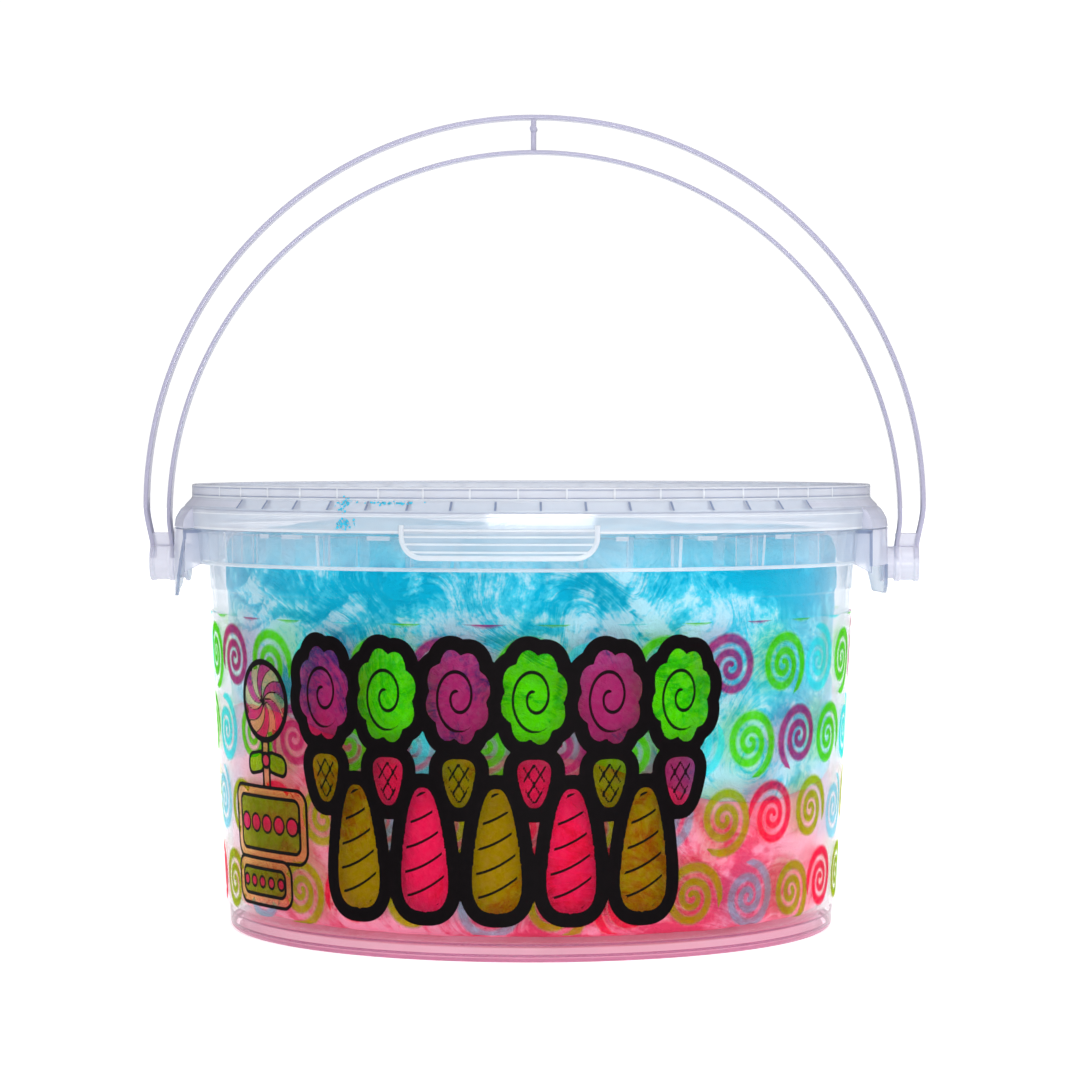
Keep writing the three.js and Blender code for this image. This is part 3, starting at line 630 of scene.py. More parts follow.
floss_layer(
    "pink", floss_material("pink_floss", PINK_COLOURS, border=srgb(232, 178, 206)), rows=130,
    hidden=lambda height, radius: (radius < 0.9) & (np.abs(height) > 0.9),
    low=lambda x, y: CANDY_FLOOR_Z, high=lambda x, y: border_height(x, y) + BORDER_LAP,
    seed=40, relief=0.6, deepening=pink_deepening,
)
floss_layer(
    "blue", floss_material("blue_floss", BLUE_COLOURS, border=srgb(214, 196, 224)), rows=190,
    hidden=lambda height, radius: (radius < 0.9) & (height < -0.9),
    low=lambda x, y: border_height(x, y) - BORDER_LAP, high=candy_top,
    seed=70, relief=0.9, deepening=blue_deepening,
)

# ---- printed film ----
# A thin sheet of clear film that lies round the whole wall. It is printed with see-through inks,
# so the floss behind them changes their colour.

FILM_BOTTOM_Z = 6.5
FILM_TOP_Z = 78.2
FILM_OUT = 0.6
FILM = 0.25

film_plastic = clear_plastic(
    "clear_film", tints=((0.995, 0.995, 0.995), (0.95, 0.95, 0.96)), milk=(232, 234, 240),
    haze=0.0, edge_haze=0.1, gloss=0.08, head_on=0.0,
)
film_heights = np.linspace(FILM_BOTTOM_Z, FILM_TOP_Z, 12)
film_outer = np.stack([wall_radius(film_heights) + FILM_OUT, film_heights], -1)
film_section = np.concatenate([film_outer, (film_outer - [FILM, 0])[::-1]])
make_piece("clear_film", ring(film_section), [film_plastic], ["label"])

# ---- printed panel ----
# The front of the film carries a bold panel: candy-floss puffs on cones over a row of twisted
# sticks, in see-through candy inks with thick black outlines. Beside them a lollipop with a bow
# stands on two small plaques, drawn with fine lines.

PRINT_RADIUS = 79.0
MAGENTA_FIELD = (0.95, 0.11, 0.36, 1)
GREEN_FIELD = (0.36, 0.96, 0.012, 1)
CONE_GREEN = (0.52, 0.77, 0.012, 1)
MUSTARD_FIELD = (0.55, 0.72, 0.012, 1)
CLEAR_INK = (1.0, 1.0, 1.0, 1)
TAN_INK = (0.98, 0.82, 0.42, 1)
OLIVE_INK = (0.38, 0.66, 0.05, 1)
OUTLINE = 3.3
FINE_LINE = 0.42
PANEL_MIDDLE = -5.4
PANEL_PITCH = 17.7
PANEL_CELL = 0.42
PANEL_FROM, PANEL_TO = -93.0, 52.0
PANEL_LOW, PANEL_HIGH = 7.4, 76.8
PUFFS = 6
PUFF_Z = 61.5
PUFF_HALF = (7.7, 11.0)
CURL_PITCH = 0.42  # of a puff's reach
CONE_Z = 41.6
CONE_HALF = (3.5, 5.6)
WEAVE_PITCH = 4.6
STICKS = 5
STICK_Z = 26.0
STICK_HALF = (5.3, 14.4)
TWIST_PITCH = 5.6
TAPER = 0.36
LOLLIPOP = (-71.5, 58.5, 9.3)  # across, height and radius
LOLLIPOP_RAYS = 12
PLAQUES = ((-72.5, 29.0, 16.0, 8.8), (-76.0, 14.8, 13.0, 5.6))


def on_film(across, height, lift):
    """A place on the film: across is millimetres round the wall from -Y towards +X."""
    height = np.clip(height, FILM_BOTTOM_Z, FILM_TOP_Z)
    return around(np.degrees(across / PRINT_RADIUS), wall_radius(height) + FILM_OUT + lift, height)


def scalloped(half_width, half_height, lobes):
    """An ellipse with round lobes, as points round the origin."""
    t = np.linspace(0, TURN, 200, endpoint=False)
    reach = 0.87 + 0.14 * np.abs(np.sin(0.5 * lobes * t + 0.5))
    return oval(t, half_width * reach, half_height * reach)


def tapered(half_width, half_height, taper):
    """A rounded box whose width changes by the taper from its middle to its top and its foot."""
    t = np.linspace(0, TURN, 200, endpoint=False)
    side, rise = (np.sign(wave) * np.abs(wave) ** 0.7 for wave in (np.cos(t), np.sin(t)))
    return np.stack([half_width * side * (1 + taper * rise), half_height * rise], -1)


def distance_to(outline, across, height):
    """Distance from each place to a closed outline round the origin, negative inside it."""
    place = np.stack([across, height], -1).reshape(-1, 1, 2)
    far = np.linalg.norm(place - outline[None], axis=2).min(1)
    turn = np.arctan2(place[:, 0, 1], place[:, 0, 0])
    edge = np.interp(turn, np.arctan2(outline[:, 1], outline[:, 0]), np.hypot(*outline.T), period=TURN)
    inside = np.hypot(place[:, 0, 0], place[:, 0, 1]) < edge
    return np.where(inside, -far, far).reshape(across.shape)


def distance_to_box(across, height, half_width, half_height, corner):
    """Distance to a box with round corners, negative inside it."""
    over = np.stack([np.abs(across) - half_width + corner, np.abs(height) - half_height + corner])
    return np.linalg.norm(over.clip(0), axis=0) + np.minimum(over.max(0), 0) - corner


def stripes(value, pitch):
    """Distance to the nearest of the lines where the value is a multiple of the pitch."""
    return np.abs((value + 0.5 * pitch) % pitch - 0.5 * pitch)


def bold_shapes(x, height, upper, inks):
    """The one or two shapes of a column: outline, middle, ink and distance to its fine lines."""
    if not upper:
        twist = stripes(height - 0.5 * x - 0.03 * x**2, TWIST_PITCH) * 0.9 - 0.28
        return [(tapered(*STICK_HALF, -TAPER), STICK_Z, inks[0], twist)]
    u, v = x / PUFF_HALF[0], (height - PUFF_Z) / PUFF_HALF[1]
    reach = np.hypot(u, v)
    curl = stripes(reach - CURL_PITCH * np.arctan2(v, u) / TURN, CURL_PITCH) * 8 - 0.3
    curl = np.maximum(curl, np.abs(reach - CURL_PITCH) * 8 - 2.6)
    weave = np.minimum(*(stripes(height + slope * x, WEAVE_PITCH) for slope in (1.6, -1.6))) * 0.53 - 0.22
    puff = (scalloped(*PUFF_HALF, 8), PUFF_Z, inks[0], curl)
    return [puff, (tapered(*CONE_HALF, TAPER), CONE_Z, inks[1], weave)]


def bold_fields(across, height, ink):
    """The fields of the two rows: sets their ink, and returns the distance to the nearest field
    and to the fine lines drawn in them."""
    nearest = np.full(across.shape, 99.0)
    fine = nearest
    for k in range(PUFFS + STICKS):
        upper = k < PUFFS
        column = k - 0.5 * (PUFFS - 1) if upper else k - PUFFS - 0.5 * (STICKS - 1)
        x = across - PANEL_MIDDLE - column * PANEL_PITCH
        green = GREEN_FIELD if upper else MUSTARD_FIELD
        inks = (MAGENTA_FIELD, CONE_GREEN) if (k % 2 == 0) == upper else (green, MAGENTA_FIELD)
        for outline, middle, colour, lines in bold_shapes(x, height, upper, inks):
            distance = distance_to(outline, x, height - middle)
            ink[distance < np.minimum(nearest, 0.5 * OUTLINE)] = colour
            nearest = np.minimum(nearest, distance)
            fine = np.where(distance < -0.9, np.minimum(fine, lines), fine)
    return nearest, fine


def panel_print(across, height):
    """The ink at each place, and a signed distance that is negative in the black lines. The thick
    outline lies between a field's edge and OUTLINE outside it."""
    ink = np.broadcast_to(CLEAR_INK, across.shape + (4,)).copy()
    nearest, fine = bold_fields(across, height, ink)
    black = np.minimum(np.maximum(-nearest, nearest - OUTLINE), fine)

    def lay(distance, colour, line=FINE_LINE):
        """Lays an outlined shape over what is there."""
        edge = np.abs(distance) - line
        black[...] = np.where(distance < line, edge, np.minimum(black, edge))
        ink[distance < 0] = colour

    x, y = across - LOLLIPOP[0], height - LOLLIPOP[1]
    lay(distance_to_box(x, y + 14, 1.4, 7, 0.5), TAN_INK)
    for side in (-1, 1):
        lay(distance_to_box(x - 4.6 * side, y + 14.2 + 0.16 * x * side, 3.6, 2.4, 2.0), GREEN_FIELD)
    lay(np.hypot(x, y + 14.2) - 1.7, MAGENTA_FIELD)
    reach = np.hypot(x, y)
    sector = np.arctan2(y, x) / TURN * LOLLIPOP_RAYS + 0.22 * reach
    lay(reach - LOLLIPOP[2], TAN_INK, 0.7)
    ink[(reach < LOLLIPOP[2]) & (sector % 2 < 1)] = MAGENTA_FIELD
    rays = stripes(sector, 1) * reach * TURN / LOLLIPOP_RAYS - 0.2
    black[...] = np.where(reach < LOLLIPOP[2] - 0.5, np.minimum(black, rays), black)
    for plaque_across, plaque_height, half_width, half_height in PLAQUES:
        x, y = across - plaque_across, height - plaque_height
        lay(distance_to_box(x, y, half_width, half_height, 3.5), TAN_INK)
        lay(distance_to_box(x, y, half_width - 2.6, half_height - 2.4, 2.0), OLIVE_INK)
        for k in range(-2, 3):
            lay(np.hypot(x - k * half_width * 0.33, y) - 0.24 * half_height, MAGENTA_FIELD, 0.3)
    return ink, black


def ink_material(name, body, soft_edge=None, line=None):
    """See-through ink: it filters what lies behind it, and a share of it, the body, scatters light.
    With an edge field the ink fades out there, and with a line field it turns to opaque black."""
    material, tree = new_material(name)
    grain = noise(tree, 700.0, 3.0)
    thin = sums(tree, "MULTIPLY", sums(tree, "SUBTRACT", grain, 0.4, clamp=True), 0.3)
    if soft_edge:
        faded = node(tree, "MapRange", {0: field(tree, soft_edge), 1: 0.5, 2: 1.0, 3: 0.0, 4: 1.0})[0]
        thin = sums(tree, "ADD", thin, faded, clamp=True)
    colour = blend_colours(tree, thin, field(tree, "ink", "Color"), CLEAR_INK)
    strength = node(tree, "SeparateColor", {0: colour}, mode="HSV")[1]
    clear, matt = (node(tree, kind, {"Color": colour})[0] for kind in ("BsdfTransparent", "BsdfDiffuse"))
    shader = blend_shaders(tree, sums(tree, "MULTIPLY", strength, body), clear, matt)
    if line:
        dark = node(tree, "MapRange", {0: field(tree, line), 1: -0.07, 2: 0.07, 3: 1.0, 4: 0.0})[0]
        shade = blend_colours(tree, grain, srgb(3, 1, 2), srgb(14, 8, 11))
        black = {"Base Color": shade, "Roughness": 0.6, "Specular IOR Level": 0.04}
        shader = blend_shaders(tree, dark, shader, node(tree, "BsdfPrincipled", black)[0])
    return finished(material, shader)


def printed(ink, line, least):
    """Where the panel has ink or, to within the least distance, a black line."""
    return (line < least) | (ink[..., :3].min(-1) < 0.99)


panel_across, panel_height = np.meshgrid(
    np.arange(PANEL_FROM, PANEL_TO, PANEL_CELL), np.arange(PANEL_LOW, PANEL_HIGH, PANEL_CELL)
)
panel_ink, panel_line = panel_print(panel_across, panel_height)
panel_quads = grid_quads(*panel_across.shape)
panel_quads = panel_quads[printed(panel_ink, panel_line, 0.4).ravel()[panel_quads].any(1)]
panel_part = on_film(panel_across, panel_height, lift=0.12).reshape(-1, 3), [panel_quads], []
panel_fields = {"ink": panel_ink, "line": panel_line}
panel_inks = ink_material("panel_inks", body=0.05, line="line")
make_piece("print_panel", panel_part, [panel_inks], sheet=True, fields=panel_fields)

# ---- printed swirls ----
# The rest of the film is strewn with lollipop swirls in magenta, green and cyan, in staggered rows
# of which the top one runs off the film. Each is a ribbon of ink that winds out from its middle.

FILM_ROUND = TURN * PRINT_RADIUS
SWIRL_ROWS = (13.8, 32.0, 50.0, 67.8, 86.5)
TOP_ROW = 4  # only the lowest part of its swirls is on the film
LOW_ROWS = 2  # the rows in warmer inks, over the pink floss
SWIRLS_ROUND = 29
SWIRL_INKS = ((0.66, 0.06, 0.26, 1), (0.17, 0.80, 0.012, 1), (0.14, 0.93, 0.94, 1), (0.17, 0.80, 0.012, 1))
LOW_INKS = ((0.94, 0.035, 0.13, 1), (0.47, 0.62, 0.012, 1), (0.42, 0.86, 0.96, 1), (0.47, 0.62, 0.012, 1))
SWIRL_START = (0.3, 2.9, 4.2, 1.6)  # where each ink's ribbon begins, in radians
SWIRL_HAND = (1, -1, 1, -1)
SWIRL_TURNS = 2.55
SWIRL_STEPS = 64
RIBBON_END = 0.93  # the share of the ribbon where its round end begins
END_REACH = 0.0701  # how far the round end would reach, a little past the last point


def swirl(across, height, start, hand):
    """A spiral whose radius grows faster than its turn, as a ribbon that widens on its way out and
    has round ends. Returns the places and the share across the ribbon."""
    t = np.linspace(0, 1, SWIRL_STEPS)[:, None]
    turn = start + hand * TURN * SWIRL_TURNS * t
    inner_end = np.sqrt((t / 0.03).clip(0, 1)).clip(0.2)
    taper = np.sqrt(1 - ((t - RIBBON_END) / END_REACH).clip(0) ** 2) * inner_end
    share = np.array([[-1.0, -0.5, 0.5, 1.0]])
    radius = 0.7 + 7.6 * t**1.3 + share * (0.95 + 0.75 * t) * taper
    return oval(turn, radius, radius, (across, height)), np.abs(share) + 0 * t


swirl_draw = np.random.default_rng(11)
swirl_places, swirl_shares, swirl_inks = [], [], []
for row, row_height in enumerate(SWIRL_ROWS):
    for column in range(SWIRLS_ROUND):
        kind = (column + 2 * row + row // 2) % 4
        middle = (column + 0.5 * (row % 2)) * FILM_ROUND / SWIRLS_ROUND - FILM_ROUND / 2
        jitter = swirl_draw.normal(0, 0.5, 3)
        start = SWIRL_START[kind] + jitter[2]
        if row == TOP_ROW:
            start = -0.5 * math.pi - SWIRL_HAND[kind] * TURN * SWIRL_TURNS * RIBBON_END
            jitter[1] *= 0.25
        spots, shares = swirl(middle + jitter[0], row_height + jitter[1], start, SWIRL_HAND[kind])
        swirl_places.append(spots.reshape(-1, 2))
        swirl_shares.append(shares.ravel())
        swirl_inks += [(LOW_INKS if row < LOW_ROWS else SWIRL_INKS)[kind]] * shares.size
swirl_starts = 4 * SWIRL_STEPS * np.arange(len(swirl_places))[:, None, None]
swirl_quads = (grid_quads(SWIRL_STEPS, 4) + swirl_starts).reshape(-1, 4)
swirl_places = np.concatenate(swirl_places)
across, height = swirl_places.T
near_panel = (across > PANEL_FROM) & (across < PANEL_TO)
covered = np.zeros(len(across), bool)
covered[near_panel] = printed(*panel_print(across[near_panel], height[near_panel]), -0.6)
off_film = (height > FILM_TOP_Z) | (height < FILM_BOTTOM_Z)
swirl_quads = swirl_quads[~covered[swirl_quads].all(1) & ~off_film[swirl_quads].all(1)]
swirl_part = on_film(across, height, lift=0.06), [swirl_quads], []
swirl_fields = {"ink": np.array(swirl_inks), "across": np.concatenate(swirl_shares)}
swirl_ink = ink_material("swirl_inks", body=0.2, soft_edge="across")
make_piece("print_swirls", swirl_part, [swirl_ink], sheet=True, fields=swirl_fields)

# ---- lid ----
# A clear snap lid: a flat panel with a stacking ring, a groove crossed by ribs, a sloping shoulder
# stiffened by webs, a skirt with the hook that grips the tub's bead, and a hood over each ear. Its
# bends, the groove's ribs and the shoulder's webs are drawn as bright and dark lines: painted
# highlights for the light that gathers in them, and painted shade.

LID_TOP_Z = 109.6
LID_RADIUS = 84.4
PANEL_Z = 104.9
SHOULDER_TOP_Z = 106.4
SHOULDER_Z = 104.1
SKIRT_RADIUS = 86.3
HOOK_Z = 102.7
GROOVE_Z = 107.2
GROOVE_BLOCK = 22.5  # half the angle over which the groove is solid
HOOD_BOTTOM = FLANGE_Z + 0.3
REFLECTION_BAND_HALF_ANGLE = 38.0
WEB_PITCH = 6.92  # degrees between the shoulder's webs


def lid_side(azimuth):
    """The filled groove and the hood over one ear, each a section carried round the ear's arc."""
    share = np.linspace(-1, 1, 28)
    block = carried_round(azimuth + share * GROOVE_BLOCK, rounded_box(79.9, 83.9, 106.8, 109.3, 0.2))
    shell = [
        (EAR_RADIUS, HOOD_BOTTOM), (EAR_RADIUS - 0.3, HOOD_BOTTOM + 2.2),
        (EAR_RADIUS - 1.5, HOOD_BOTTOM + 4.3), (EAR_RADIUS - 3, HOOD_BOTTOM + 5.5),
        (LID_RADIUS - 0.3, SHOULDER_TOP_Z + 0.2), (LID_RADIUS - 0.6, SHOULDER_TOP_Z - 0.6),
        (EAR_RADIUS - 3.4, HOOD_BOTTOM + 4.5), (EAR_RADIUS - 2.3, HOOD_BOTTOM + 3.5),
        (EAR_RADIUS - 1.2, HOOD_BOTTOM + 1.9), (EAR_RADIUS - 0.8, HOOD_BOTTOM),
    ]
    hood = carried_round(azimuth + share * EAR_HALF_ANGLE, rounded(shell, 0.3, closed=True))
    middle = HOOD_BOTTOM + 4.0
    lower = [(85.6, HOOD_BOTTOM), (88.4, HOOD_BOTTOM), (87.3, middle), (85.6, middle)]
    upper = [(84.0, middle), (87.3, middle), (85.7, HOOD_BOTTOM + 5.2), (84.0, SHOULDER_TOP_Z)]
    return together(tube(block), tube(hood), *side_walls(azimuth, lower, upper))


lid_profile = [
    (0, PANEL_Z - 1), (80.2, PANEL_Z - 1), (80.2, GROOVE_Z - 1), (83.6, GROOVE_Z - 1),
    (SKIRT_RADIUS - 0.9, SHOULDER_Z - 0.2), (SKIRT_RADIUS - 0.9, HOOK_Z + 0.3), (82.7, HOOK_Z),
    (82.7, HOOK_Z - 0.5), (85.2, HOOK_Z - 1.5), (85.2, 99.0), (86.0, 99.0), (SKIRT_RADIUS, SHOULDER_Z),
    (LID_RADIUS, SHOULDER_TOP_Z), (LID_RADIUS, LID_TOP_Z), (83.4, LID_TOP_Z), (83.4, GROOVE_Z),
    (80.4, GROOVE_Z), (80.4, LID_TOP_Z), (79.2, LID_TOP_Z), (78.8, PANEL_Z), (68.0, PANEL_Z),
    (67.7, PANEL_Z + 0.8), (66.7, PANEL_Z + 0.8), (66.4, PANEL_Z), (0, PANEL_Z),
]
groove_angles = np.arange(0, 360, 7.5)
groove_angles = groove_angles[np.abs(groove_angles % 180 - 90) > GROOVE_BLOCK]
groove_low, groove_high = GROOVE_Z - 0.2, LID_TOP_Z - 0.4
groove_rib = [(79.9, groove_low), (84.45, groove_low), (84.45, groove_high), (79.9, groove_high)]
web_foot = SHOULDER_Z + 0.2
web = [(83.6, SHOULDER_TOP_Z), (83.6, web_foot), (86.2, web_foot), (84.45, SHOULDER_TOP_Z)]
# Thin milky bands laid on the shoulder for some way round from each ear: painted reflections of a bright
# light at each side.
reflection_band_corners = [(LID_RADIUS + 0.02, 106.3), (LID_RADIUS - 0.4, 106.2), (85.4, 104.4), (86.2, 104.45)]
reflection_band_section = rounded(reflection_band_corners, 0.15, closed=True)
reflection_band_turn = np.linspace(-REFLECTION_BAND_HALF_ANGLE, REFLECTION_BAND_HALF_ANGLE, 60)
reflection_bands = together(*(tube(carried_round(turn + reflection_band_turn, reflection_band_section)) for turn in (90, 270)))
bright_lines = together(
    bead(SKIRT_RADIUS - 0.62, 99.4, 0.4, 0.42),
    bead(SKIRT_RADIUS - 0.3, HOOK_Z + 0.25, 0.26, 0.28),
    bead(LID_RADIUS - 0.25, SHOULDER_TOP_Z + 0.35, 0.3, 0.25),
    bead(LID_RADIUS - 0.3, LID_TOP_Z - 0.25, 0.3, 0.2),
)
dark_lines = together(
    bead(SKIRT_RADIUS - 0.26, SHOULDER_Z - 0.35, 0.22, 0.2),
    bead(LID_RADIUS - 0.2, GROOVE_Z - 0.05, 0.22, 0.16),
    bead(LID_RADIUS - 0.2, LID_TOP_Z - 0.62, 0.22, 0.16),
)
lid_plastic = clear_plastic(
    "clear_lid_plastic", tints=((0.985, 0.987, 0.993), (0.84, 0.85, 0.90)), milk=(246, 247, 252),
    haze=0.36,
)
# Near-white milk for the painted reflection bands on the shoulder.
reflection_band_plastic = clear_plastic(
    "painted_reflection_band", tints=((0.97, 0.97, 0.98), (0.86, 0.86, 0.90)), milk=(240, 239, 246),
    edge_haze=0.2,
)
web_angles = four_ways((np.arange(8) + 0.5) * WEB_PITCH)
make_piece("lid_shell", turned(rounded(lid_profile, 0.35)), [lid_plastic], ["lid"])
for name, part, plastic in (
    ("lid_hoods", together(lid_side(90), lid_side(270)), ear_plastic),
    ("lid_groove_ribs", radial_plates(groove_rib, 0.45, groove_angles), painted_highlight_lines),
    ("lid_shoulder_webs", radial_plates(web, 0.5, web_angles), painted_shade_lines),
    ("lid_shoulder_painted_reflections", reflection_bands, reflection_band_plastic),
    ("lid_bright_bends", bright_lines, painted_highlight_lines),
    ("lid_dark_bends", dark_lines, painted_shade_lines),
):
    make_piece(name, part, [plastic])

# ---- lid pull tab ----
# A curved flap that hangs from the lid's skirt over the collar, with a thick rounded border and
# grip ridges, both drawn near white as painted highlights. It is moulded with the lid.

TAB_AZIMUTH = -3.0
TAB_HALF_WIDTH = 23.0
TAB_BOTTOM_Z = 92.9
TAB_TOP_Z = 101.0
TAB_CORNER = 5.5
TAB_INNER = 85.5
TAB_OUTER = 86.4
TAB_BORDER = 86.3  # radius of the middle of the border
TAB_RIDGES_Z = (94.85, 96.65, 98.35, 99.85)


def on_tab(across, height, radius):
    """A place in front of the tab: across is straight sideways, as the tab is seen from ahead."""
    return around(TAB_AZIMUTH + np.degrees(np.arcsin(across / radius)), radius, height)


def tab_path(inset, steps=14):
    """The tab's outline from its upper left round the foot to its upper right."""
    half, bottom, corner = TAB_HALF_WIDTH - inset, TAB_BOTTOM_Z + inset, TAB_CORNER - inset
    turn = np.linspace(math.pi, 1.5 * math.pi, steps)
    left = oval(turn, corner, corner, (-half + corner, bottom + corner))
    right = left[::-1] * [-1, 1]
    foot = np.linspace(left[-1], right[0], 24)[1:-1]
    return np.concatenate([[[-half, TAB_TOP_Z]], left, foot, right, [[half, TAB_TOP_Z]]])


def tab_flap():
    """The flap between its inner and outer curves, with rounded lower corners."""
    across = TAB_HALF_WIDTH * np.sin(np.linspace(-1, 1, 61) * math.pi / 2)[None]
    past = (np.abs(across) - TAB_HALF_WIDTH + TAB_CORNER).clip(0, TAB_CORNER)
    low = TAB_BOTTOM_Z + TAB_CORNER - np.sqrt(TAB_CORNER**2 - past**2)
    height = rows_between(low, TAB_TOP_Z, 6)
    return slab(on_tab(across, height, TAB_OUTER), on_tab(across, height, TAB_INNER))


def carried_along(path, section):
    """A section carried along a flat path, its first coordinate square to the path in the path's
    plane. Returns the places' first coordinate in that plane, how far they stand out of the plane,
    and their second coordinate."""
    along = np.gradient(path, axis=0)
    along /= np.linalg.norm(along, axis=1, keepdims=True)
    square = np.stack([along[:, 1], -along[:, 0]], -1)
    place = path[:, None] + square[:, None] * section[None, :, :1]
    return place[..., 0], np.broadcast_to(section[:, 1], place.shape[:2]), place[..., 1]


def tab_grip():
    """The border bead along the flap's edge, and the ridges across it."""
    across, out, height = carried_along(tab_path(0.6), rounded_box(-0.6, 0.6, -0.7, 0.7, 0.5, steps=4))
    border = on_tab(across, height, TAB_BORDER + out)
    ridge = rounded_box(-0.25, 0.25, -0.4, 0.3, 0.22, steps=4)
    ridges = []
    for level in TAB_RIDGES_Z:
        reach = TAB_HALF_WIDTH - 1.1 - max(TAB_BOTTOM_Z + TAB_CORNER - level, 0) ** 2 / 9
        sideways = np.linspace(-reach, reach, 30)[:, None]
        ridges.append(tube(on_tab(sideways, level + ridge[:, 0], TAB_OUTER + 0.2 + ridge[:, 1])))
    return together(tube(border), *ridges)


tab_plastic = clear_plastic(
    "clear_tab_plastic", tints=((0.97, 0.975, 0.985), (0.9, 0.91, 0.94)), milk=(240, 246, 252),
    haze=0.34, grain=90.0,
)
make_piece("lid_tab_flap", tab_flap(), [tab_plastic])
make_piece("lid_tab_grip", tab_grip(), [painted_highlight_lines])

# ---- crumbs on the lid ----
# Blue sugar dust that stuck to the lid's shoulder and skirt when the tub was shut. Each crumb is
# a small uneven lump, and they lie in a few short drifts.

CRUMBS = 150
CRUMB_ROWS, CRUMB_COLUMNS = 5, 6
CRUMB_LOW, CRUMB_HIGH = 99.8, 107.4
CRUMB_DRIFTS = (  # azimuth and its spread, height and its spread
    (-28.4, 0.6, 105.4, 0.9),
    (-20.0, 2.8, 105.9, 0.2),
    (-27.8, 1.0, 101.2, 0.7),
)


def crumbs():
    """Lumps on a coarse ball grid, each with its own size and stretch."""
    draw = np.random.default_rng(21)
    down = np.linspace(0, math.pi, CRUMB_ROWS)[:, None]
    circle = np.arange(CRUMB_COLUMNS) * math.pi / 3
    ball = places(np.sin(down) * np.cos(circle), np.sin(down) * np.sin(circle), np.cos(down))
    lumps = []
    for k in range(CRUMBS):
        azimuth, azimuth_spread, height, height_spread = CRUMB_DRIFTS[k % 3]
        lump = ball * draw.uniform(0.1, 0.28) * draw.uniform(0.7, 1.4, 3)
        lump = lump * (1 + 0.2 * draw.normal(size=(CRUMB_ROWS, CRUMB_COLUMNS, 1)))
        lump[0], lump[-1] = lump[0].mean(0), lump[-1].mean(0)
        height = np.clip(height + draw.normal(0, height_spread), CRUMB_LOW, CRUMB_HIGH)
        surface = np.interp(height, (SHOULDER_Z, SHOULDER_TOP_Z), (SKIRT_RADIUS, LID_RADIUS)) - 0.05
        centre = around(azimuth + draw.normal(0, azimuth_spread), surface, height)
        lumps.append(skin(lump + centre))
    return together(*lumps)


crumb_sugar, crumb_tree = new_material("blue_crumb_sugar")
crumb_colour = blend_colours(crumb_tree, noise(crumb_tree, 900.0, 2.0), srgb(0, 160, 195), srgb(60, 200, 226))
crumb_coat = node(crumb_tree, "BsdfPrincipled", {"Base Color": crumb_colour, "Roughness": 0.6})
finished(crumb_sugar, crumb_coat[0])
make_piece("lid_sugar_crumbs", crumbs(), [crumb_sugar])

# ---- handle ----
# A bail of clear plastic: two thin rails in nested arcs, tied at the top, where the mould's gate
# left a small bump, and near each foot. Each foot is a pair of round cheeks with a boss between
# them and a headed pin that snaps into the ear.

HANDLE_SHIFT = 0.6
HANDLE_DEPTH = 5.0
OUTER_RAIL = (97.1, 103.75, 95.4, 1.1)  # arc radius, arc centre height, foot x, thickness
INNER_RAIL = (91.35, 100.8, 90.5, 0.95)
CHEEK_RADIUS = 4.7
PIN_SIDES = 48
TIE_BOTTOM_Z = 94.0
TIE_TOP_Z = 97.3
GATE_Z = 198.0


def rail(radius, centre_z, foot_x, thickness):
    """A rounded bar carried up one leg, over the half circle and down the other leg. The leg bows
    from the foot's place out to the arc's."""
    leg_z = PIVOT_Z + 1 + (centre_z - PIVOT_Z - 1) * np.linspace(0, 1, 12)[:-1]
    lean = ((leg_z - TIE_BOTTOM_Z) / (centre_z - TIE_BOTTOM_Z)).clip(0, 1)
    leg = np.stack([foot_x + (radius - foot_x) * lean**1.5 * (2.2 - 1.2 * lean), leg_z], -1)
    arc = oval(np.linspace(0, math.pi, 120), radius, radius, (0, centre_z))
    half, deep = thickness / 2, HANDLE_DEPTH / 2
    path = np.concatenate([leg, arc, leg[::-1] * [-1, 1]])
    return tube(np.stack(carried_along(path, rounded_box(-half, half, -deep, deep, 0.4)), -1))


def turned_about_pin(profile):
    """An (x, radius) profile turned round the pin's axis."""
    turn = np.arange(PIN_SIDES) * TURN / PIN_SIDES
    x, radius = profile[:, :1], profile[:, 1:]
    return skin(places(x, radius * np.cos(turn), PIVOT_Z + radius * np.sin(turn)))


def tie(outline, depth):
    """A plate with an (x, z) outline, with its two broad faces drawn in a little."""
    y = np.array([-0.5, -0.46, 0.46, 0.5])[:, None] * depth
    shrink = np.array([0.96, 1.0, 1.0, 0.96])[:, None, None]
    place = outline.mean(0) + (outline - outline.mean(0)) * shrink
    return tube(places(place[..., 0], y, place[..., 1]))


def handle_foot(side):
    """Cheeks, boss and pin of one foot, and the tie between its rails."""
    pin = [(86.2, 0), (86.2, 4.75), (87.0, 4.75), (87.3, 4.0), (89.8, 4.0), (89.95, CHEEK_RADIUS)]
    boss = [(91.1, CHEEK_RADIUS), (91.4, 4.45), (94.5, 4.45), (94.8, CHEEK_RADIUS)]
    end = [(95.95, CHEEK_RADIUS), (95.95, 0)]
    corners = [(90.2, TIE_BOTTOM_Z), (95.7, TIE_BOTTOM_Z), (95.9, TIE_TOP_Z), (90.3, TIE_TOP_Z)]
    profile, outline = (np.array(flat) * [side, 1] for flat in (pin + boss + end, corners))
    body = turned_about_pin(rounded(profile, 0.25))
    return together(body, tie(rounded(outline, 0.3, closed=True), 4.6))


